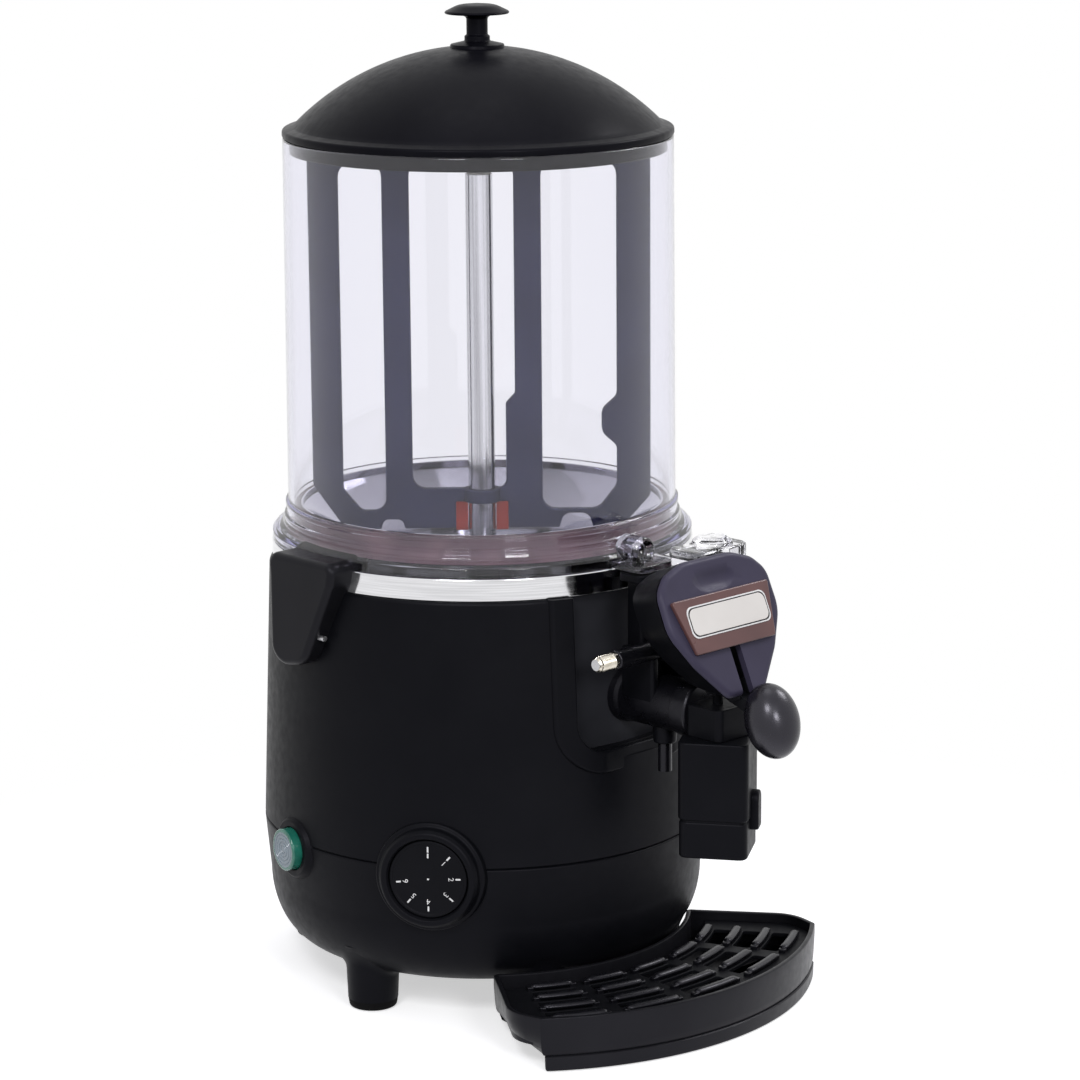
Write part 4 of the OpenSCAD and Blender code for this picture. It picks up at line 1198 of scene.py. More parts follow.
    def foot(self, shape: Shape, spot: Point) -> None:
        """Raise one foot from its pad to the curve of the bowl.

        Args:
            shape: the mesh to add to.
            spot: place of the foot.
        """
        count, highest, sunk = 48, 40.0, 0.4
        around = [math.tau * i / count for i in range(count)]
        waist = self.foot_r - 0.7
        rings = [shape.ring([(spot[0] + waist * math.cos(a), spot[1] + waist * math.sin(a), self.pad_h + 0.1)
                             for a in around])]
        for out, drop in edge_steps(self.foot_flare, 6):
            points = []
            for a in around:
                reach = self.foot_r + out
                x, y = spot[0] + reach * math.cos(a), spot[1] + reach * math.sin(a)
                points.append((x, y, min(self.bowl_height(math.hypot(x, y)), highest) - drop + sunk))
            rings.append(shape.ring(points))
        shape.skin(rings)

    def handles(self) -> None:
        """Make the two side handles, whose lower tips lean to the rear."""
        top = self.band_top + self.handle_rise
        near, far = self.handle_mid - self.handle_half, self.handle_mid + self.handle_half
        tip_y, tip_z = self.handle_mid + self.handle_lean, top - self.handle_drop
        outline = rounded([(near, top, 7), (near + 3, top - 14, 14), (tip_y - 15.5, tip_z - 9.5, 14.5),
                           (tip_y + 13.5, tip_z - 14, 14), (far - 1, top - 14, 8), (far, top, 7)], 9)
        for side, name, nodes in ((-1, "left_handle", ("handles",)), (1, "right_handle", ())):
            shape = Shape().prism([outline], self.handle_root, self.handle_reach, self.handle_edge)
            shape.shift(lambda p: Vector((p.z * side, p.x, p.y)))
            make(name, shape, upright(), Rider.BASE, BLACK_TRAY, *nodes)


@dataclass
class Jar:
    """The clear jar with its flared foot and the outlet at the front."""

    base_z: float = 267.0
    top_z: float = 504.0
    radius: float = 115.0
    top_r: float = 114.0
    wall: float = 3.3
    lip_round: float = 1.2
    rim_round: float = 1.0
    flare: float = 14.0
    flange_r: float = 124.6
    flange_h: float = 4.0
    step_rise: float = 13.5
    ridge_rise: float = 21.5
    tongue_half: float = 17.0
    tongue_back: float = 120.0
    tongue_front: float = 147.0
    tongue_t: float = 4.0
    boss_f: float = 118.0
    boss_r: float = 8.4
    boss_long: float = 16.0
    boss_rise: float = 8.6
    gasket_back: float = 127.0
    gasket_trim: float = 2.0
    gasket_t: float = 1.5
    seal_f: float = 136.2
    seal_r: float = 7.2
    seal_bore: float = 4.6
    plate_t: float = 5.0
    screw_f: float = 140.0
    screw_x: float = 12.2
    lug_sides: Point = (4.0, 50.0)
    lug_front: float = 171.0
    lug_back: float = 146.0
    lug_h: float = 12.0
    dome_x: float = 31.0
    dome_f: float = 157.0

    def build(self) -> None:
        """Make the jar and its outlet."""
        mid_r = self.radius + self.flare
        mid_z = self.base_z + self.flange_h + self.flare
        inner = arc((mid_r, mid_z), self.flare + self.wall, 180, 234, 12)
        rim_r = self.top_r - self.wall
        lip = arc((self.top_r - self.lip_round, self.top_z - self.lip_round), self.lip_round, 0, 90, 5)
        rim = arc((rim_r + self.rim_round, self.top_z - self.rim_round), self.rim_round, 90, 180, 5)
        foot = [(inner[-1][0], self.base_z), *arc((self.flange_r - 1, self.base_z + 1), 1.0, -90, 0, 5)]
        outline = [*rim, (rim_r, self.top_z - 12), (self.radius - self.wall, mid_z + 8), *inner, *foot,
                   *self.steps(), *lip]
        make("clear_jar", Shape().lathe(outline, 240), upright(), Rider.JAR, CLEAR_JAR, "jar", sharp=50)
        self.tongue()
        self.seals()
        self.lug()

    def steps(self) -> list[Point]:
        """Outside of the jar's foot: a flare with two ridges above it.

        Returns:
            Radius and height of each point from the flange up, without the corner that closes the outline.
        """
        wall, rim, base = self.radius, self.flange_r, self.base_z
        step, ridge = base + self.step_rise, base + self.ridge_rise
        corners = [(rim, base + 1.2, 0), (rim, base + 5.5, 1.4), (rim - 2, base + 7.4, 2),
                   (wall + 3.2, step - 3.6, 3), (wall + 2.6, step - 1.4, 0.6), (wall + 2.6, step + 1.2, 1),
                   (wall + 0.9, step + 2, 0.4), (wall + 0.9, ridge - 2, 0.4), (wall + 1.6, ridge - 1.4, 0.6),
                   (wall + 1.6, ridge + 1.2, 0.8), (wall, ridge + 1.8, 0.4), (wall, ridge + 8, 0),
                   (wall - 20, ridge, 0)]
        return rounded(corners, 5)[:-1]

    def tongue(self) -> None:
        """Make the clear tongue above the tap and the boss on it, with its funnel-shaped mouth."""
        plan = panel(-self.tongue_half, self.tongue_half, -self.tongue_front, -self.tongue_back, 6, 1)
        tongue = Shape().prism([plan], self.base_z, self.base_z + self.tongue_t, 0.8)
        make("clear_tongue", tongue, upright(), Rider.JAR, CLEAR_LUG)
        # The last corner only guides the rounding: the mouth runs from its rim to the root as a funnel.
        boss = rounded([(0, 0, 0), (self.boss_r, 0, 0), (self.boss_r, self.boss_long, 2),
                        (0, self.boss_long + 0.4, 0)], 5)
        place = upright(front=self.boss_f, z=self.base_z + self.boss_rise) @ turned(90, "X")
        make("clear_boss", Shape().lathe(boss[:-1], 48), place, Rider.JAR, CLEAR_LUG)

    def seals(self) -> None:
        """Make the gasket and the seal ring under the tongue, and the screws that hold the tap to it."""
        under = self.base_z - self.gasket_t
        half, front = self.tongue_half - self.gasket_trim, self.tongue_front - self.gasket_trim
        flat = panel(-half, half, -front, -self.gasket_back, 5, 2)
        gasket = Shape().prism([flat, hole(self.seal_r + 0.2, self.seal_f)], under, self.base_z - HAIR, 0.3)
        make("tongue_gasket", gasket, upright(), Rider.JAR, BLACK_RUBBER, "tap_gasket")
        tall = self.gasket_t - 2 * HAIR
        ring = rounded([(self.seal_bore, 0, 0.3), (self.seal_r, 0, 0.4), (self.seal_r, tall, 0.4),
                        (self.seal_bore, tall, 0.3)], 4)
        place = upright(front=self.seal_f, z=under)
        make("outlet_ring", Shape().lathe(ring, 40), place, Rider.JAR, BLACK_RUBBER, "outlet_seal")
        head = rounded([(0, 0, 0), (2.8, 0, 0.2), (2.8, 1.2, 0.9), (0, 2.2, 0)], 5)
        screws = Shape()
        for side in (-1, 1):
            spot = Matrix.Translation((side * self.screw_x, 0, 0))
            screws.add(Shape().lathe(head, 32), spot @ turned(180, "X"))
        place = upright(front=self.screw_f, z=under - self.plate_t - HAIR)
        make("tongue_screws", screws, place, Rider.JAR, BLACK_DIAL, "tap_screws")

    def lug(self) -> None:
        """Make the clear lug beside the head, with a low dome on it."""
        top = self.base_z + self.lug_h
        block = panel(*self.lug_sides, -self.lug_front, -self.lug_back, 9, 7, steps=8)
        make("clear_lug", Shape().prism([block], self.base_z, top, 1.4), upright(), Rider.JAR, CLEAR_LUG)
        dome = rounded([(0, 0, 0), (12, 0, 0.3), (11.5, 2, 1), (8.2, 4.6, 3), (0, 5.4, 0)], 6)
        place = upright(self.dome_x, self.dome_f, top + HAIR)
        make("clear_dome", Shape().lathe(dome, 48), place, Rider.JAR, CLEAR_LUG)


@dataclass
class Lid:
    """The domed lid and its knob."""

    jar_top: float = 504.0
    lip_r: float = 114.2
    lip_round: float = 1.8
    rise: float = 53.0
    crown_drop: float = 1.6
    dome_in: float = 6.4
    dome_z: float = 6.3
    wall: float = 3.0
    plug_r: float = 110.2
    plug_drop: float = 8.4

    def build(self) -> None:
        """Make the lid and the knob."""
        base_r, crown = self.lip_r - self.dome_in, self.rise - self.crown_drop
        dome_rise = crown - self.dome_z
        ball = (base_r ** 2 + dome_rise ** 2) / (2 * dome_rise)
        mid = (0.0, crown - ball)
        stop = math.degrees(math.acos(base_r / ball))
        dome = arc(mid, ball, 90, stop, 40)
        under = arc(mid, ball - self.wall, stop + 1, 90, 24)
        lip = [(self.lip_r - self.dome_in + 1, self.dome_z - 0.4),
               *arc((self.lip_r - self.lip_round, 3.0), self.lip_round, 72, 0, 7),
               (self.lip_r, 1.2), (self.lip_r - 0.5, 0.3)]
        plug_in = self.plug_r - self.wall
        plug = [(self.plug_r, 0), (self.plug_r, 1 - self.plug_drop), (self.plug_r - 1, -self.plug_drop),
                (plug_in, -self.plug_drop), (plug_in, 0.6)]
        shape = Shape().lathe([*dome, *lip, *plug, *under], 200)
        make("lid_dome", shape, upright(z=self.jar_top), Rider.LID, BLACK_LID, "lid", sharp=50)
        self.knob()

    def knob(self) -> None:
        """Turn the knob: a flared foot, a slim stem and a thin disc."""
        outline = rounded([
            (0, -2.5, 0), (16, -2.5, 0), (15.5, -0.6, 0.8), (8.6, 1.0, 3), (7.4, 1.4, 0.6), (7.4, 4, 0.6),
            (6.2, 5, 0.8), (6.2, 14.8, 2), (10, 16.6, 6), (18.2, 16.9, 0.5), (18.9, 17.6, 0.5),
            (18.2, 18.5, 1), (11, 22, 14), (0, 23, 0)], 7)
        place = upright(z=self.jar_top + self.rise)
        make("lid_knob_disc", Shape().lathe(outline, 96), place, Rider.LID, BLACK_LID, "lid_knob", sharp=50)


@dataclass
class Stirrer:
    """The flat stirrer with four prongs and the collars on its column."""

    angle: float = -44.0
    reach: float = 100.3
    thick: float = 6.0
    edge: float = 1.1
    foot_z: float = 270.0
    top_z: float = 497.0
    hub_half: float = 15.5
    collar_z: float = 286.0
    collar_h: float = 8.0
    collar_bore: float = 8.4
    collar_r: float = 11.0
    top_collar_h: float = 14.0
    bar_z: float = 294.0
    window_z: float = 281.0
    window_top: float = 488.0
    window_round: float = 8.0
    left_prong: Point = (-57.0, -41.0)
    right_prong: Point = (20.0, 36.0)
    left_edge: float = 18.0
    right_edge: float = 20.0
    step_z: float = 345.0
    step_x: float = 14.5
    bump_z: float = 334.0
    bump_in: float = 9.0

    def build(self) -> None:
        """Make the plate with its windows, and its collars."""
        shape = Shape().prism([self.outline(), *self.windows()], -self.thick / 2, self.thick / 2, self.edge)
        shape.shift(lambda p: Vector((p.x, -p.z, p.y)))
        for z, tall in ((self.collar_z, self.collar_h), (self.top_z - self.top_collar_h, self.top_collar_h)):
            ring = rounded([(self.collar_bore, z, 0), (self.collar_r, z, 1), (self.collar_r, z + tall, 1),
                            (self.collar_bore, z + tall, 0)], 4)
            shape.add(Shape().lathe(ring, 48), Matrix.Identity(4))
        place = upright() @ turned(self.angle, "Z")
        make("stirrer_plate", shape, place, Rider.STIRRER, STIRRER_BLACK, "stirrer")

    def notch(self, mid: float, half: float, slope: float, rise: float, corner: float) -> list[Corner]:
        """A notch in the lower edge of the plate.

        Args:
            mid: middle of the notch.
            half: half its width at the edge.
            slope: how much narrower each side is at the top.
            rise: its height.
            corner: radius of its upper corners.

        Returns:
            Its four corners, from left to right.
        """
        low = self.foot_z
        return [(mid - half, low, 1), (mid - half + slope, low + rise, corner),
                (mid + half - slope, low + rise, corner), (mid + half, low, 1)]

    def outline(self) -> list[Point]:
        """Outline of the plate, anticlockwise."""
        wide, hub, low, high = self.reach, self.hub_half, self.foot_z, self.top_z
        return rounded([
            (-wide + 19, low, 3), *self.notch(-53, 7, 1.5, 5.5, 4), (-hub, low, 1), (-hub, self.collar_z, 1),
            (hub, self.collar_z, 1), (hub, low, 1), *self.notch(56, 10, 2.5, 8.5, 6), (wide - 17, low, 3),
            (wide, low + 19, 5), (wide, high, 4), (-wide, high, 4), (-wide, low + 27, 5)], 5)

    def windows(self) -> list[list[Point]]:
        """The three windows between the prongs.

        Returns:
            Their outlines, clockwise.
        """
        low, top, bend = self.window_z, self.window_top, self.window_round
        outer = self.left_edge - self.reach
        left = [(outer + 11, low, 5), (outer, low + 13, 6), (outer, top, bend),
                (self.left_prong[0], top, bend), (self.left_prong[0], low, 9)]
        start, stop = self.left_prong[1], self.right_prong[0]
        middle = [(start, self.bar_z, bend), (start, top, bend), (stop, top, bend),
                  (stop, self.step_z + 6, 3), (self.step_x, self.step_z, 3), (self.step_x, self.bar_z, 5)]
        outer, bump = self.reach - self.right_edge, self.bump_z
        inner = outer - self.bump_in
        right = [(self.right_prong[1], low, bend), (self.right_prong[1], top, bend), (outer, top, bend),
                 (outer, bump + 15, 6), (inner, bump + 7, 8), (inner, bump - 7, 8), (outer, bump - 15, 6),
                 (outer, low + 14, 8), (outer - 11, low, 8)]
        return [rounded(corners, 6) for corners in (left, middle, right)]


@dataclass
class Tap:
    """The shield-shaped head with its plaque, the lever and its ball, the body and the spout."""

    face_front: float = 199.2
    face_z: float = 240.0
    face_t: float = 3.9
    tilt: float = 24.0
    deep: float = 30.0
    taper: float = 0.17
    rise: float = 8.0
    wall: float = 3.2
    edge: float = 3.2
    tip_v: float = -36.0
    crown_v: float = 44.5
    slot_half: float = 4.2
    slot_v: float = -7.0
    room_half: float = 9.6
    room_v: float = -2.0
    past_tip: float = -60.0
    guide_v: Point = (-30.0, 6.0)
    guide_z: float = -21.0
    cheek_v: Point = (-38.0, -26.5)
    cheek_z: float = -11.0
    dent_half: Point = (17.0, 6.5)
    dent_v: float = 31.0
    dent_depth: float = 2.4
    plaque_t: float = 3.0
    label_half: Point = (32.5, 9.2)
    label_v: float = 9.5
    label_round: float = 4.4
    ball_half: Point = (15.5, 21.5)
    ball_f: float = 231.0
    ball_z: float = 194.0
    ball_lean: float = -18.0
    riser_f: float = 127.0
    riser_half: float = 9.0
    riser_deep: float = 14.2
    plate_half: float = 16.0
    plate_back: float = 126.5
    plate_front: float = 146.0
    plate_z: Point = (260.5, 265.5)
    web_x: Point = (9.4, 15.2)
    barrel_r: float = 15.5
    barrel_z: float = 190.0
    barrel_back: float = 118.5
    barrel_collar: float = 11.6
    spigot_f: float = 149.0
    spigot_bore: float = 4.1
    boss_z: float = 166.0
    boss_h: float = 14.0
    pivot_f: float = 150.0
    pivot_z: float = 222.5
    pin_bore: float = 3.3
    sleeve_r: float = 5.75
    sleeve_x: Point = (9.4, 42.8)
    pin_x: Point = (43.1, 57.8)
    pin_r: float = 4.7
    thread_pitch: float = 1.3
    thread_depth: float = 0.5
    thread_count: int = 8
    spout_f: float = 190.0
    spout_turn: float = 33.3
    spout_half: float = 20.2
    spout_round: float = 5.0
    spout_low: float = 110.0
    spout_seam: float = 132.0
    spout_top: float = 178.0
    bore_r: float = 8.0
    chamber_r: float = 11.1
    block_half: float = 13.6
    block_top: float = 196.6
    tab_half: float = 6.0
    tab_z: Point = (124.5, 147.0)
    tab_proud: float = 4.2
    spring_z: Point = (174.0, 190.6)
    spring_r: float = 6.6
    spring_turns: int = 5
    spring_keep: float = 0.12
    wire_r: float = 0.5

    def build(self) -> None:
        """Make the pieces of the tap."""
        self.head()
        self.plaque()
        self.ball()
        self.pin_ends()
        self.riser()
        self.barrel()
        self.sleeves()
        self.spout()
        self.spring()
        soften("lever", BLACK_SHELL, 0.6)

    def face(self) -> Matrix:
        """Place on the tilted face: x to the right, y up the face, z out of it."""
        return upright(front=self.face_front, z=self.face_z) @ turned(90 - self.tilt, "X")

    def pivot(self) -> Matrix:
        """Place of the lever's pivot, on its axis and midway between its ends."""
        return upright(front=self.pivot_f, z=self.pivot_z)

    def riser(self) -> None:
        """Make the riser with the plate under the jar's tongue, and a web on each side."""
        back, front = -self.riser_f, -self.riser_f - self.riser_deep
        low, high = self.plate_z
        column = panel(-self.riser_half, self.riser_half, front, back, 4, 2)
        shape = Shape().prism([column], self.barrel_z - 12, low + 1.5, 1.0)
        plate = panel(-self.plate_half, self.plate_half, -self.plate_front, -self.plate_back, 6, 4, steps=7)
        shape.prism([plate], low, high, 1.0)
        for side in (-1, 1):
            left, right = sorted(side * x for x in self.web_x)
            web = panel(left, right, -self.pivot_f - 3.5, back - 2, 2, 1, steps=5)
            shape.prism([web], self.barrel_z, self.pivot_z, 1.0)
        make("tap_riser", shape, upright(), Rider.JAR, BLACK_SHELL, "tap_body")

    def barrel(self) -> None:
        """Turn the barrel, which ends short of the valve's chamber, and the boss of the spigot under it."""
        radius, collar_r = self.barrel_r, self.barrel_r + 0.9
        stop = self.spout_f - self.chamber_r - 0.5 - self.barrel_back
        collar = stop - self.barrel_collar
        pipe = rounded([(0, 0, 0), (radius + 1.4, 0, 1), (radius + 1, 5, 2), (radius, 8, 3),
                        (radius, collar - 0.4, 0.4), (collar_r, collar, 0.5), (collar_r, stop, 1.6),
                        (0, stop, 0)], 6)
        place = upright(front=self.barrel_back, z=self.barrel_z) @ turned(90, "X")
        make("tap_barrel", Shape().lathe(pipe, 72), place, Rider.JAR, BLACK_GLOSS)
        bore, tall = self.spigot_bore, self.boss_h
        boss = rounded([(bore, 0, 0), (bore + 2.5, 0, 1.2), (bore + 3.3, tall, 0), (bore, tall, 0)], 5)
        place = upright(front=self.spigot_f, z=self.boss_z)
        make("spigot_boss", Shape().lathe(boss, 40), place, Rider.JAR, BLACK_SHELL)

    def sleeves(self) -> None:
        """Turn the two sleeves round the pivot pin."""
        start, long = self.sleeve_x[0], self.sleeve_x[1] - self.sleeve_x[0]
        outline = rounded([(self.pin_bore, 0, 0), (self.sleeve_r, 0, 0.4), (self.sleeve_r, long, 1.2),
                           (self.pin_bore, long, 0)], 6)
        shape = Shape()
        for side in (-1, 1):
            shape.add(Shape().lathe(outline, 48), outward(side, start))
        make("pivot_sleeves", shape, self.pivot(), Rider.JAR, BLACK_GLOSS)

    def spout(self) -> None:
        """Make the square spout, turned on its axis, with its nozzle, valve block and side tab."""
        half, bend, seam, top = self.spout_half, self.spout_round, self.spout_seam, self.spout_top
        straight = upright(front=self.spout_f)
        place = straight @ turned(self.spout_turn, "Z")
        bore, chamber = hole(self.bore_r), hole(self.chamber_r)
        body = Shape().prism([square(half, bend), chamber], seam + 0.5, top, 1.2)
        make("spout_block", body, place, Rider.JAR, BLACK_SHELL)
        tip = Shape().prism([square(half - 0.5, bend), bore], self.spout_low, seam - 0.3, 1.6)
        make("spout_nozzle", tip, place, Rider.JAR, BLACK_SHELL, "nozzle")
        neck = Shape().prism([square(half - 1.2, bend), bore], seam - 3, seam + 1, 0.2)
        make("spout_joint", neck, place, Rider.JAR, BLACK_DIAL)
        valve = Shape().prism([square(self.block_half, 4), chamber], top + HAIR, self.block_top, 0.6)
        make("valve_block", valve, straight, Rider.JAR, BLACK_SHELL)
        outline = panel(-self.tab_half, self.tab_half, *self.tab_z, 2, self.tab_half - 0.2, steps=8)
        tab = Shape().prism([outline], half - 2, half + self.tab_proud, 1.2)
        tab.shift(lambda p: Vector((p.x, -p.z, p.y)))
        make("spout_tab", tab, place, Rider.JAR, BLACK_SHELL)

    def spring(self) -> None:
        """Wind the valve spring, at rest."""
        low, high = self.spring_z
        steps_a_turn, sides = 18, 8
        shape = Shape()
        rings = []
        for share in spread(self.spring_turns * steps_a_turn + 1):
            angle = math.tau * self.spring_turns * share
            around = []
            for a in (math.tau * i / sides for i in range(sides)):
                reach = self.spring_r + self.wire_r * math.cos(a)
                around.append((reach * math.cos(angle), reach * math.sin(angle),
                               low + (high - low) * share + self.wire_r * math.sin(a)))
            rings.append(shape.ring(around))
        place = upright(front=self.spout_f)
        piece = make("valve_coil", shape.skin(rings), place, Rider.JAR, PLAIN_STEEL, "valve_spring")
        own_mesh(piece)

    def head_outline(self) -> list[Point]:
        """Outline of the head.

        Returns:
            The outline, anticlockwise from its blunt tip.
        """
        tip, crown = self.tip_v, self.crown_v
        right = rounded([(0, tip, 0), (15, tip, 6), (33, -15, 30), (45.5, 6, 24), (45, 30, 14), (36, 39, 14),
                         (20, crown, 30), (0, crown, 0)], 9)[1:-1]
        return [(0.0, tip), *right, (0.0, crown), *[(-x, y) for x, y in reversed(right)]]

    def hood(self, outline: Sequence[Point], share: float) -> list[Point]:
        """The outline of the head some way back: narrower and higher.

        Args:
            outline: the outline at the face.
            share: how far back, from nought at the face to one at the open end.

        Returns:
            The outline there.
        """
        shrink = 1 - self.taper * share
        return [(x * shrink, y * shrink + self.rise * share) for x, y in outline]

    def head(self) -> None:
        """Make the hollow head with its thumb dent and the slot for the lever."""
        outline = self.head_outline()
        inner = inset(outline, self.wall)
        hood = Shape()
        rings = [hood.ring([(*p, -self.wall - 1) for p in self.hood(inner, 0.1)])]
        rings.append(hood.ring([(*p, -self.deep) for p in self.hood(inner, 1.0)]))
        for share in spread(8, 1.0, 0.16):
            rings.append(hood.ring([(*p, -self.deep * share) for p in self.hood(outline, share ** 1.3)]))
        hood.loft(rings + rings[:1])
        sides = make("tap_hood", hood, self.face(), Rider.JAR, BLACK_SHELL, "shield")
        room = panel(-self.room_half, self.room_half, self.past_tip, self.room_v, 0, 3, steps=5)
        carve(sides, Shape().prism([room], self.past_tip, -self.face_t - 0.05, 0.1), self.face())
        # The face plate takes the painted lighter black, which stands for the light on the face.
        face = make("tap_head", self.face_plate(outline), self.face(), Rider.JAR, BLACK_HEAD_PAINTED_LIGHT)
        slot = panel(-self.slot_half, self.slot_half, self.past_tip, self.slot_v, 0, 2)
        carve(face, Shape().prism([slot], -40, 10, 0.1), self.face())
        self.guides()

    def face_plate(self, outline: list[Point]) -> Shape:
        """The face of the head, painted lighter than the hood to stand for the light on it: a plate with a
        round edge and a thumb dent.

        Args:
            outline: the outline at the face.

        Returns:
            The plate.
        """
        mid = Vector((0.0, 8.0))
        shape = Shape()
        rings = [shape.layer(outline, 0.5, -self.face_t)]
        rings += [shape.layer(outline, by, -drop) for by, drop in edge_steps(self.edge, 6)]
        flat = inset(outline, self.edge)
        for share in spread(28, 0.97, 0.02):
            rings.append(shape.ring([(*(mid + (Vector(p) - mid) * share), 0.0) for p in flat]))
        return shape.skin(rings).shift(self.dent)

    def guides(self) -> None:
        """Line the slot with dark walls and, at the tip, cheeks, which keep the lever straight."""
        high = -self.wall - 0.4
        shape = Shape()
        for side in (-1, 1):
            left, right = sorted((side * (self.room_half + 0.2), side * (self.room_half + 2.4)))
            shape.prism([panel(left, right, *self.guide_v, 2, steps=4)], self.guide_z, high, 0.5)
            left, right = sorted((side * (self.slot_half + 0.1), side * (self.slot_half + 2.2)))
            shape.prism([panel(left, right, *self.cheek_v, 0.6, steps=4)], self.cheek_z, high, 0.4)
        make("slot_guides", shape, self.face(), Rider.JAR, BLACK_DIAL)

    def dent(self, point: Vector) -> Vector:
        """Press an oval thumb dent into the top of the face.

        Args:
            point: a point of the face plate.

        Returns:
            The point where the dent leaves it.
        """
        share = (point.x / self.dent_half[0]) ** 2 + ((point.y - self.dent_v) / self.dent_half[1]) ** 2
        if point.z < -1.5 or share >= 1:
            return point
        return Vector((point.x, point.y, point.z - self.dent_depth * (1 - share) ** 0.8))

    def plaque(self) -> None:
        """Make the brown plaque and the bare label with its border line."""
        outline = rounded([(-32.5, -8.5, 1.5), (32, -8.5, 1.5), (39, 23.5, 1.5), (-40.5, 23.5, 1.5)], 5)
        plate = Shape().prism([outline], HAIR, self.plaque_t, 0.8)
        make("brown_plaque_plate", plate, self.face(), Rider.JAR, BROWN_PLAQUE, "plaque")
        layers = ((0.0, 0.4, WHITE_PRINT, "label_edge", ("label",)),
                  (0.8, 0.5, DARK_PRINT, "label_line", ()),
                  (1.5, 0.6, CREAM_LABEL, "label_field", ()))
        for by, thick, finish, name, nodes in layers:
            w, h = (half - by for half in self.label_half)
            loop = panel(-w, w, self.label_v - h, self.label_v + h, self.label_round, steps=8)
            layer = Shape().prism([loop], self.plaque_t, self.plaque_t + thick, 0.08)
            make(name, layer, self.face(), Rider.JAR, finish, *nodes)

    def ball(self) -> None:
        """Turn the egg-shaped ball of the lever."""
        wide, tall = self.ball_half
        outline = [(wide * x, tall * z) for x, z in arc((0, 0), 1.0, -90, 90, 48)]
        place = upright(front=self.ball_f, z=self.ball_z) @ turned(self.ball_lean, "X")
        shape = Shape().lathe(outline, 72, closed=False)
        make("lever_ball", shape, place, Rider.LEVER, BLACK_BALL, "ball_knob")

    def pin_ends(self) -> None:
        """Turn the threaded, slotted ends of the pivot pin outside its sleeves."""
        start, end = self.pin_x
        radius, long, floor = self.pin_r, end - start, 2.0
        threads = [(radius - self.thread_depth * (i % 2), 2.6 + self.thread_pitch * i / 2)
                   for i in range(2 * self.thread_count)]
        outline = [(self.pin_bore, 0), (radius + 0.2, 0), (radius + 0.2, 2.2), *threads,
                   (radius - 0.4, long - 1.2), (radius - 1.4, long), (0, long), (0, floor),
                   (self.pin_bore, floor)]
        shape = Shape()
        for side in (-1, 1):
            shape.add(Shape().lathe(outline, 40), outward(side, start))
        pins = make("pin_end_caps", shape, self.pivot(), Rider.JAR, PIN_STEEL, "pin_nuts")
        for side in (-1, 1):
            slot = Shape().prism([panel(-0.7, 0.7, -9, 9, 0)], -1.8, 1.8, 0.05)
            carve(pins, slot, self.pivot() @ Matrix.Translation((side * end, 0, 0)) @ turned(90, "Y"))


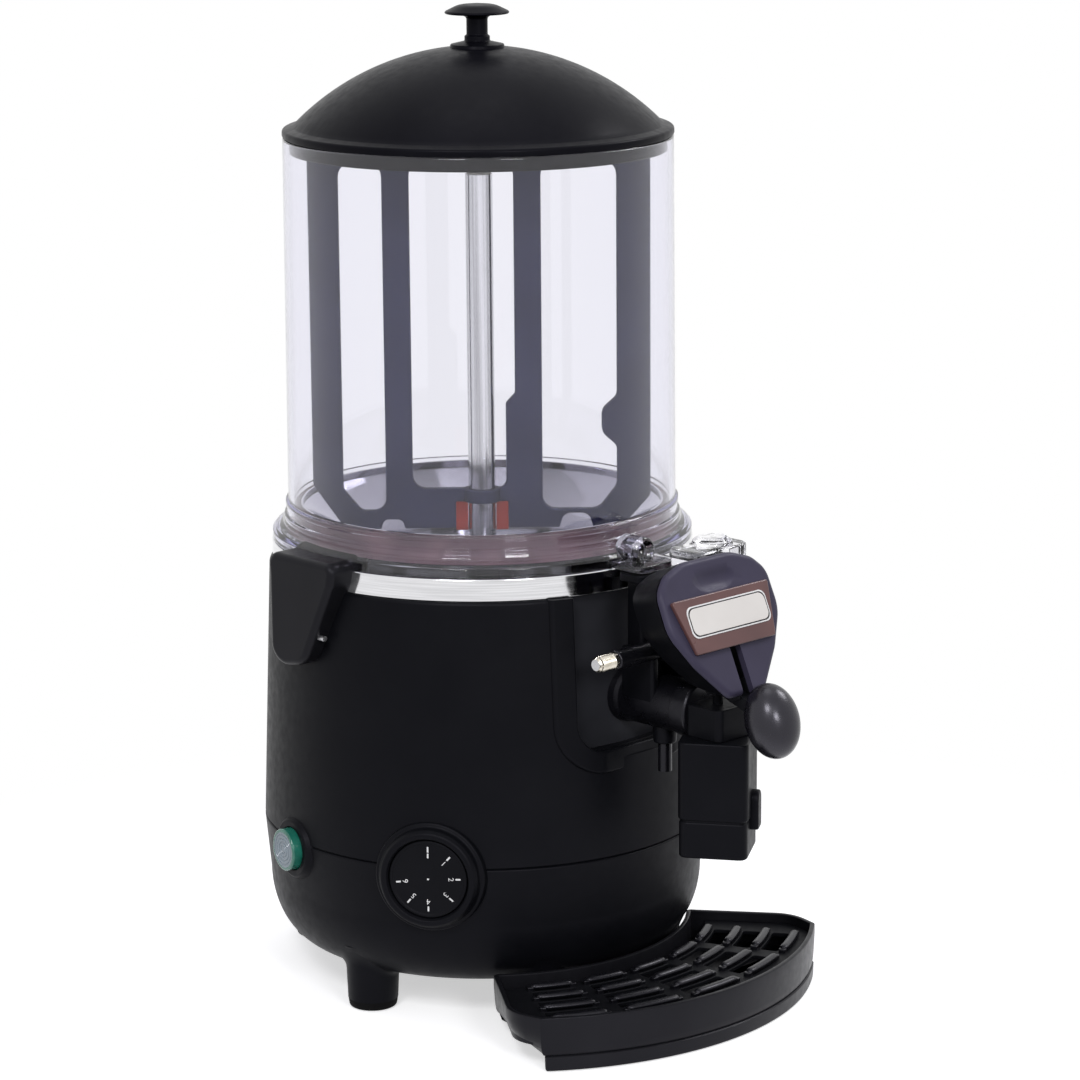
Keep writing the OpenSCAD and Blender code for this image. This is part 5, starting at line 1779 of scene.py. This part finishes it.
@dataclass
class Controls:
    """The thermostat dial in its deep bezel and the green button."""

    seam_r: float = 133.0
    z: float = 93.5
    bezel_root: float = 119.0
    bezel_skirt: float = 127.0
    dial_azimuth: float = -58.0
    dial_r: float = 23.0
    dial_proud: float = 7.5
    dial_root: float = 120.0
    dial_sunk: float = 2.2
    mark_turns: tuple[float, ...] = (0.0, -43.0, -87.0, -130.0, 180.0, 140.0, 98.0)
    mark_half: float = 0.5
    mark_bars: tuple[Point, ...] = ((16.2, 19.2),)
    zero_bars: tuple[Point, ...] = ((12.6, 15.4), (16.0, 19.4))
    mark_t: float = 0.15
    digit_h: float = 4.6
    digit_r: float = 13.4
    button_azimuth: float = -102.0
    button_r: float = 12.5
    button_stem: Point = (4.0, 110.0)
    button_back: float = 123.0
    button_proud: float = 5.5
    groove_radii: tuple[float, ...] = (8.9, 6.7, 4.5, 2.3)

    def build(self) -> None:
        """Make the dial, the button and their bezels."""
        self.dial()
        self.button()

    def dial(self) -> None:
        """Make the dial with its marks and numbers, and its bezel."""
        place = facing(self.dial_azimuth, self.z)
        face, radius, root = self.seam_r + self.dial_proud, self.dial_r, self.bezel_root
        bezel = rounded([
            (radius + 0.5, root, 0), (radius + 0.5, face - 2.5, 0.8), (radius + 1.6, face - 0.6, 1),
            (radius + 4.4, face - 0.4, 2), (radius + 6.2, face - 3, 2), (radius + 6.8, face - 6.5, 1.5),
            (radius + 9.2, face - 7.2, 1.4), (radius + 10, self.bezel_skirt, 1), (radius + 10, root, 0)], 6)
        make("dial_bezel_ring", Shape().lathe(bezel, 96), place, Rider.BASE, BLACK_SHELL, "dial_bezel")
        rim, top = face - self.dial_sunk, face - self.dial_sunk - 0.5
        knob = rounded([(0, self.dial_root, 0), (radius, self.dial_root, 0), (radius, rim, 1.2),
                        (radius - 1.6, rim, 0.4), (radius - 2.2, top, 0.4), (0, top, 0)], 5)
        make("dial_knob", Shape().lathe(knob, 96), place, Rider.DIAL, BLACK_DIAL, "thermostat_dial")
        self.marks(place, top)

    def marks(self, place: Matrix, top: float) -> None:
        """Print the marks and numbers on the face of the dial.

        Args:
            place: the dial's own frame.
            top: height of the face in that frame.
        """
        shape = Shape()
        lift = Matrix.Translation((0, 0, top))
        for number, angle in enumerate(self.mark_turns):
            spin = lift @ turned(90 + angle, "Z")
            for low, high in self.mark_bars if number else self.zero_bars:
                tick = panel(-self.mark_half, self.mark_half, low, high, 0.3, steps=3)
                shape.add(Shape().prism([tick], 0.0, self.mark_t, 0.05), spin)
            if number:
                digit = Shape().digits(str(number), self.digit_h)
                shape.add(digit, spin @ Matrix.Translation((0, self.digit_r, HAIR)))
        dot = rounded([(0, 0, 0), (0.6, 0, 0), (0.6, self.mark_t, 0.1), (0, self.mark_t, 0)], 3)
        shape.add(Shape().lathe(dot, 16), lift)
        make("dial_marks", shape, place, Rider.DIAL, WHITE_PRINT)

    def button(self) -> None:
        """Make the green button with its ringed face, and its bezel."""
        place = facing(self.button_azimuth, self.z)
        face, radius, root = self.seam_r + 2, self.button_r, self.bezel_root
        bezel = rounded([(radius + 0.4, root, 0), (radius + 0.4, face, 0.8), (radius + 4.5, face, 1.8),
                         (radius + 6.5, face - 4, 1.5), (radius + 9.5, self.bezel_skirt, 1),
                         (radius + 9.5, root, 0)], 6)
        make("button_bezel_ring", Shape().lathe(bezel, 72), place, Rider.BASE, BLACK_SHELL, "switch_bezel")
        tip, back = face + self.button_proud, self.button_back
        stem_r, stem_end = self.button_stem
        cap = rounded([(0, stem_end, 0), (stem_r, stem_end, 0), (stem_r, back, 0), (radius, back, 0.5),
                       (radius, tip, 1.4), (radius - 2, tip, 0), (radius - 2, tip - 0.6, 0),
                       (0, tip - 0.6, 0)], 5)
        make("button_cap", Shape().lathe(cap, 72), place, Rider.BUTTON, GREEN_CAP, "power_button")
        under, groove, top = tip - 0.55, tip - 0.4, tip - 0.05
        disc = [(0, under), (radius - 1.4, under), (radius - 1.4, tip - 0.1), (radius - 1.8, top)]
        for r in self.groove_radii:
            disc += [(r + 0.5, top), (r + 0.3, groove), (r - 0.3, groove), (r - 0.5, top)]
        disc.append((0, top))
        make("button_disc", Shape().lathe(disc, 64), place, Rider.BUTTON, BUTTON_FACE)


@dataclass
class DripTray:
    """The boat-shaped drip tray and its grid of rods."""

    front: float = 206.0
    front_r: float = 180.0
    half_w: float = 116.3
    side: Point = (121.2, 142.0)
    side_round: float = 24.0
    gap_r: float = 121.6
    back: float = 42.5
    back_round: float = 8.0
    height: float = 32.0
    wall: float = 3.0
    basin_z: float = 13.0
    foot_half: float = 115.6
    foot_in: float = 32.0
    foot_back: float = 140.0
    foot_h: float = 9.0
    grid_gap: float = 0.6
    grid_gap_r: float = 133.2
    grid_t: float = 4.5
    rows: int = 4
    row_pitch: float = 17.6
    row_limit: float = 34.5
    limit_step: float = 0.5
    columns_each_side: int = 2
    rod_pitch: float = 14.2
    rod_span: float = 10.4
    rod_r: float = 2.7
    rod_half_h: float = 2.0
    slot_gap: float = 0.8
    post_half: float = 2.2

    def build(self) -> None:
        """Make the tray and the grid."""
        self.basin()
        self.foot()
        self.grid()

    def bow(self, half: float) -> list[Point]:
        """The front edge out to some half width, from left to right."""
        stop = math.degrees(math.asin(half / self.front_r))
        return arc((0.0, self.front_r - self.front), self.front_r, -90 - stop, -90 + stop, 41)

    def plan(self, end: float = 0.0, gap_r: float = 0.0) -> list[Point]:
        """Outline of the tray seen from above, anticlockwise.

        Args:
            end: how much shorter each end is.
            gap_r: radius of the hollow side, if it isn't the tray's own.

        Returns:
            The outline as x and y from the axis.
        """
        bow = self.bow(self.half_w)
        stern = arc((0, 0), gap_r or self.gap_r, -90 + self.back, -90 - self.back, 31)
        x, y = self.side[0] - end, -self.side[1] - end * 0.3
        corners = [(*bow[0], 2.0), *[(*p, 0.0) for p in bow[1:-1]], (*bow[-1], 2.0), (x, y, self.side_round),
                   (*stern[0], self.back_round), *[(*p, 0.0) for p in stern[1:-1]],
                   (*stern[-1], self.back_round), (-x, y, self.side_round)]
        return rounded(corners, 7)

    def basin(self) -> None:
        """Make the basin with its thin rim and round ends."""
        top, wall, foot = self.height, self.wall, self.foot_h
        hull = [(14.0, foot - 0.2, 20.0), (2.6, foot, 20.0), (1.4, foot + 0.6, 16.0), (0.8, foot + 2.2, 11.6),
                (0.6, foot + 4.8, 7.2), (0.4, foot + 8.4, 3.4), (0.2, foot + 12.6, 1.1),
                (0.0, foot + 17.0, 0.0)]
        rim = [(0, top - 1.0), (0.3, top - 0.3), (0.9, top), (wall - 0.8, top), (wall - 0.2, top - 0.3),
               (wall, top - 1.0), (wall + 0.4, self.basin_z + 1.0), (20.0, self.basin_z)]
        shape = Shape()
        rings = [shape.layer(self.plan(end), by, z) for by, z, end in hull]
        rings += [shape.layer(self.plan(), by, z) for by, z in rim]
        make("tray_basin", shape.skin(rings), upright(), Rider.TRAY, BLACK_TRAY, "drip_tray")

    def foot(self) -> None:
        """Make the foot, which is nearly flush with the front of the basin."""
        edge, tall, inner = self.bow(self.foot_half), self.foot_h, self.foot_half - self.foot_in
        corners = [(*edge[0], 6.0), *[(*p, 0.0) for p in edge[1:-1]], (*edge[-1], 6.0),
                   (inner, -self.foot_back, 8.0), (-inner, -self.foot_back, 8.0)]
        steps = [(2.4, 0), (1.1, 0.4), (0.6, 1.6), (0.4, tall - 0.6), (1.0, tall), (3.0, tall + 0.6)]
        make("tray_foot", Shape().stack(rounded(corners, 7), steps), upright(), Rider.TRAY, BLACK_TRAY)

    def row(self, index: int) -> list[tuple[float, float, float]]:
        """The rods of one row.

        Args:
            index: number of the row, counted outward from the machine.

        Returns:
            Each rod as its radius about the axis and its two angles in radians from the front.
        """
        radius = self.grid_gap_r + self.rod_r + 1.0 + index * self.row_pitch
        limit = self.row_limit - index * self.limit_step
        rods = []
        for column in range(-self.columns_each_side, self.columns_each_side + 1):
            middle = column * self.rod_pitch
            start = max(middle - self.rod_span / 2, -limit)
            end = min(middle + self.rod_span / 2, limit)
            rods.append((radius, math.radians(start), math.radians(end)))
        return rods

    def rod(self, radius: float, start: float, end: float, z: float) -> Shape:
        """One rod: a rounded bar along an arc about the axis, with round ends.

        Args:
            radius: radius of the arc.
            start: first angle in radians from the front.
            end: last angle.
            z: height of its axis.

        Returns:
            The rod.
        """
        sides = 16
        tip = self.rod_r / radius
        turns = [math.radians(a) for a in (8, 30, 55, 90)]
        stations = [(start + tip * (1 - math.cos(a)), math.sin(a)) for a in turns]
        stations += [(a, 1.0) for a in spread(8, start + 2 * tip, end - 2 * tip)]
        stations += [(end - tip * (1 - math.cos(a)), math.sin(a)) for a in reversed(turns)]
        shape = Shape()
        rings = []
        for angle, swell in stations:
            around = []
            for a in (math.tau * i / sides for i in range(sides)):
                reach = radius + self.rod_r * swell * math.cos(a)
                height = z + self.rod_half_h * swell * math.sin(a)
                around.append((reach * math.sin(angle), -reach * math.cos(angle), height))
            rings.append(shape.ring(around))
        return shape.skin(rings)

    def slot(self, radius: float, start: float, end: float) -> list[Point]:
        """The opening outside a rod, clockwise.

        Args:
            radius: radius of the rod's arc.
            start: first angle of the rod in radians from the front.
            end: last angle.

        Returns:
            The outline of the opening.
        """
        count = 9
        low = radius + self.rod_r + self.slot_gap
        high = radius + self.row_pitch - self.rod_r - self.slot_gap
        first, last = math.degrees(start) - 90, math.degrees(end) - 90
        corners = []
        for edge in (arc((0, 0), high, last, first, count), arc((0, 0), low, first, last, count)):
            corners += [(*edge[0], 1.6), *[(*p, 0.0) for p in edge[1:-1]], (*edge[-1], 1.6)]
        return rounded(corners, 4)

    def grid(self) -> None:
        """Make the drop-in grid: a thin slotted plate under rows of rods on short posts."""
        trim = self.wall + self.grid_gap
        outline = inset(self.plan(gap_r=self.grid_gap_r - trim), trim)
        low = self.height - 1.5 - self.grid_t
        slots = [self.slot(*rod) for index in range(self.rows - 1) for rod in self.row(index)]
        plate = Shape().prism([outline, *slots], low - 2.0, low + 0.4, 0.5)
        make("tray_grid_plate", plate, upright(), Rider.GRID, BLACK_DIAL, "drip_grid")
        shape = Shape()
        for radius, start, end in (rod for index in range(self.rows) for rod in self.row(index)):
            shape.add(self.rod(radius, start, end, low + self.grid_t - 2.2), Matrix.Identity(4))
            for angle in (start, end):
                spot = Matrix.Rotation(angle, 4, "Z") @ Matrix.Translation((0, -radius, 0))
                post = square(self.post_half, 1, steps=3)
                shape.add(Shape().prism([post], low - 0.5, low + 2.6, 0.6), spot)
        make("tray_grid_rods", shape, upright(), Rider.GRID, BLACK_GLOSS)


def dress_inside() -> None:
    """Give each carried-over CAD node that keeps its shape its finish."""
    finishes: dict[Finish, tuple[str, ...]] = {
        PLAIN_STEEL: ("base_screws", "tank_spacers", "motor_bracket", "bracket_nuts", "drive_shaft",
                      "pivot_pin", "shield_screws", "cross_pin", "knob_screw", "handle_screws"),
        COLUMN_STEEL_PAINTED_REFLECTIONS: ("column_tube",),
        DISH_STEEL: ("floor_dish",),
        GASKET_BROWN: ("dish_gasket",),
        HOT_STEEL: ("heater",),
        GREY_PAINT: ("gearbox", "motor"),
        PALE_PLASTIC: ("thermostat", "terminal_block", "shaft_bush"),
        BLACK_DIAL: ("switch_body", "valve_cap", "valve_piston", "cord_gland"),
        BLACK_GLOSS: ("tap_spigot",),
        RED_SILICONE: ("valve_seal", "stirrer_wipers"),
    }
    for finish, nodes in finishes.items():
        for node in nodes:
            dress(node, finish)


def main() -> None:
    """Build the studio and every piece of the machine in order."""
    logging.basicConfig(level=logging.INFO)
    Studio().build()
    for part in (Housing(), Jar(), Lid(), Stirrer(), Tap(), Controls(), DripTray()):
        part.build()
    dress_inside()


if __name__ == "__main__":
    main()
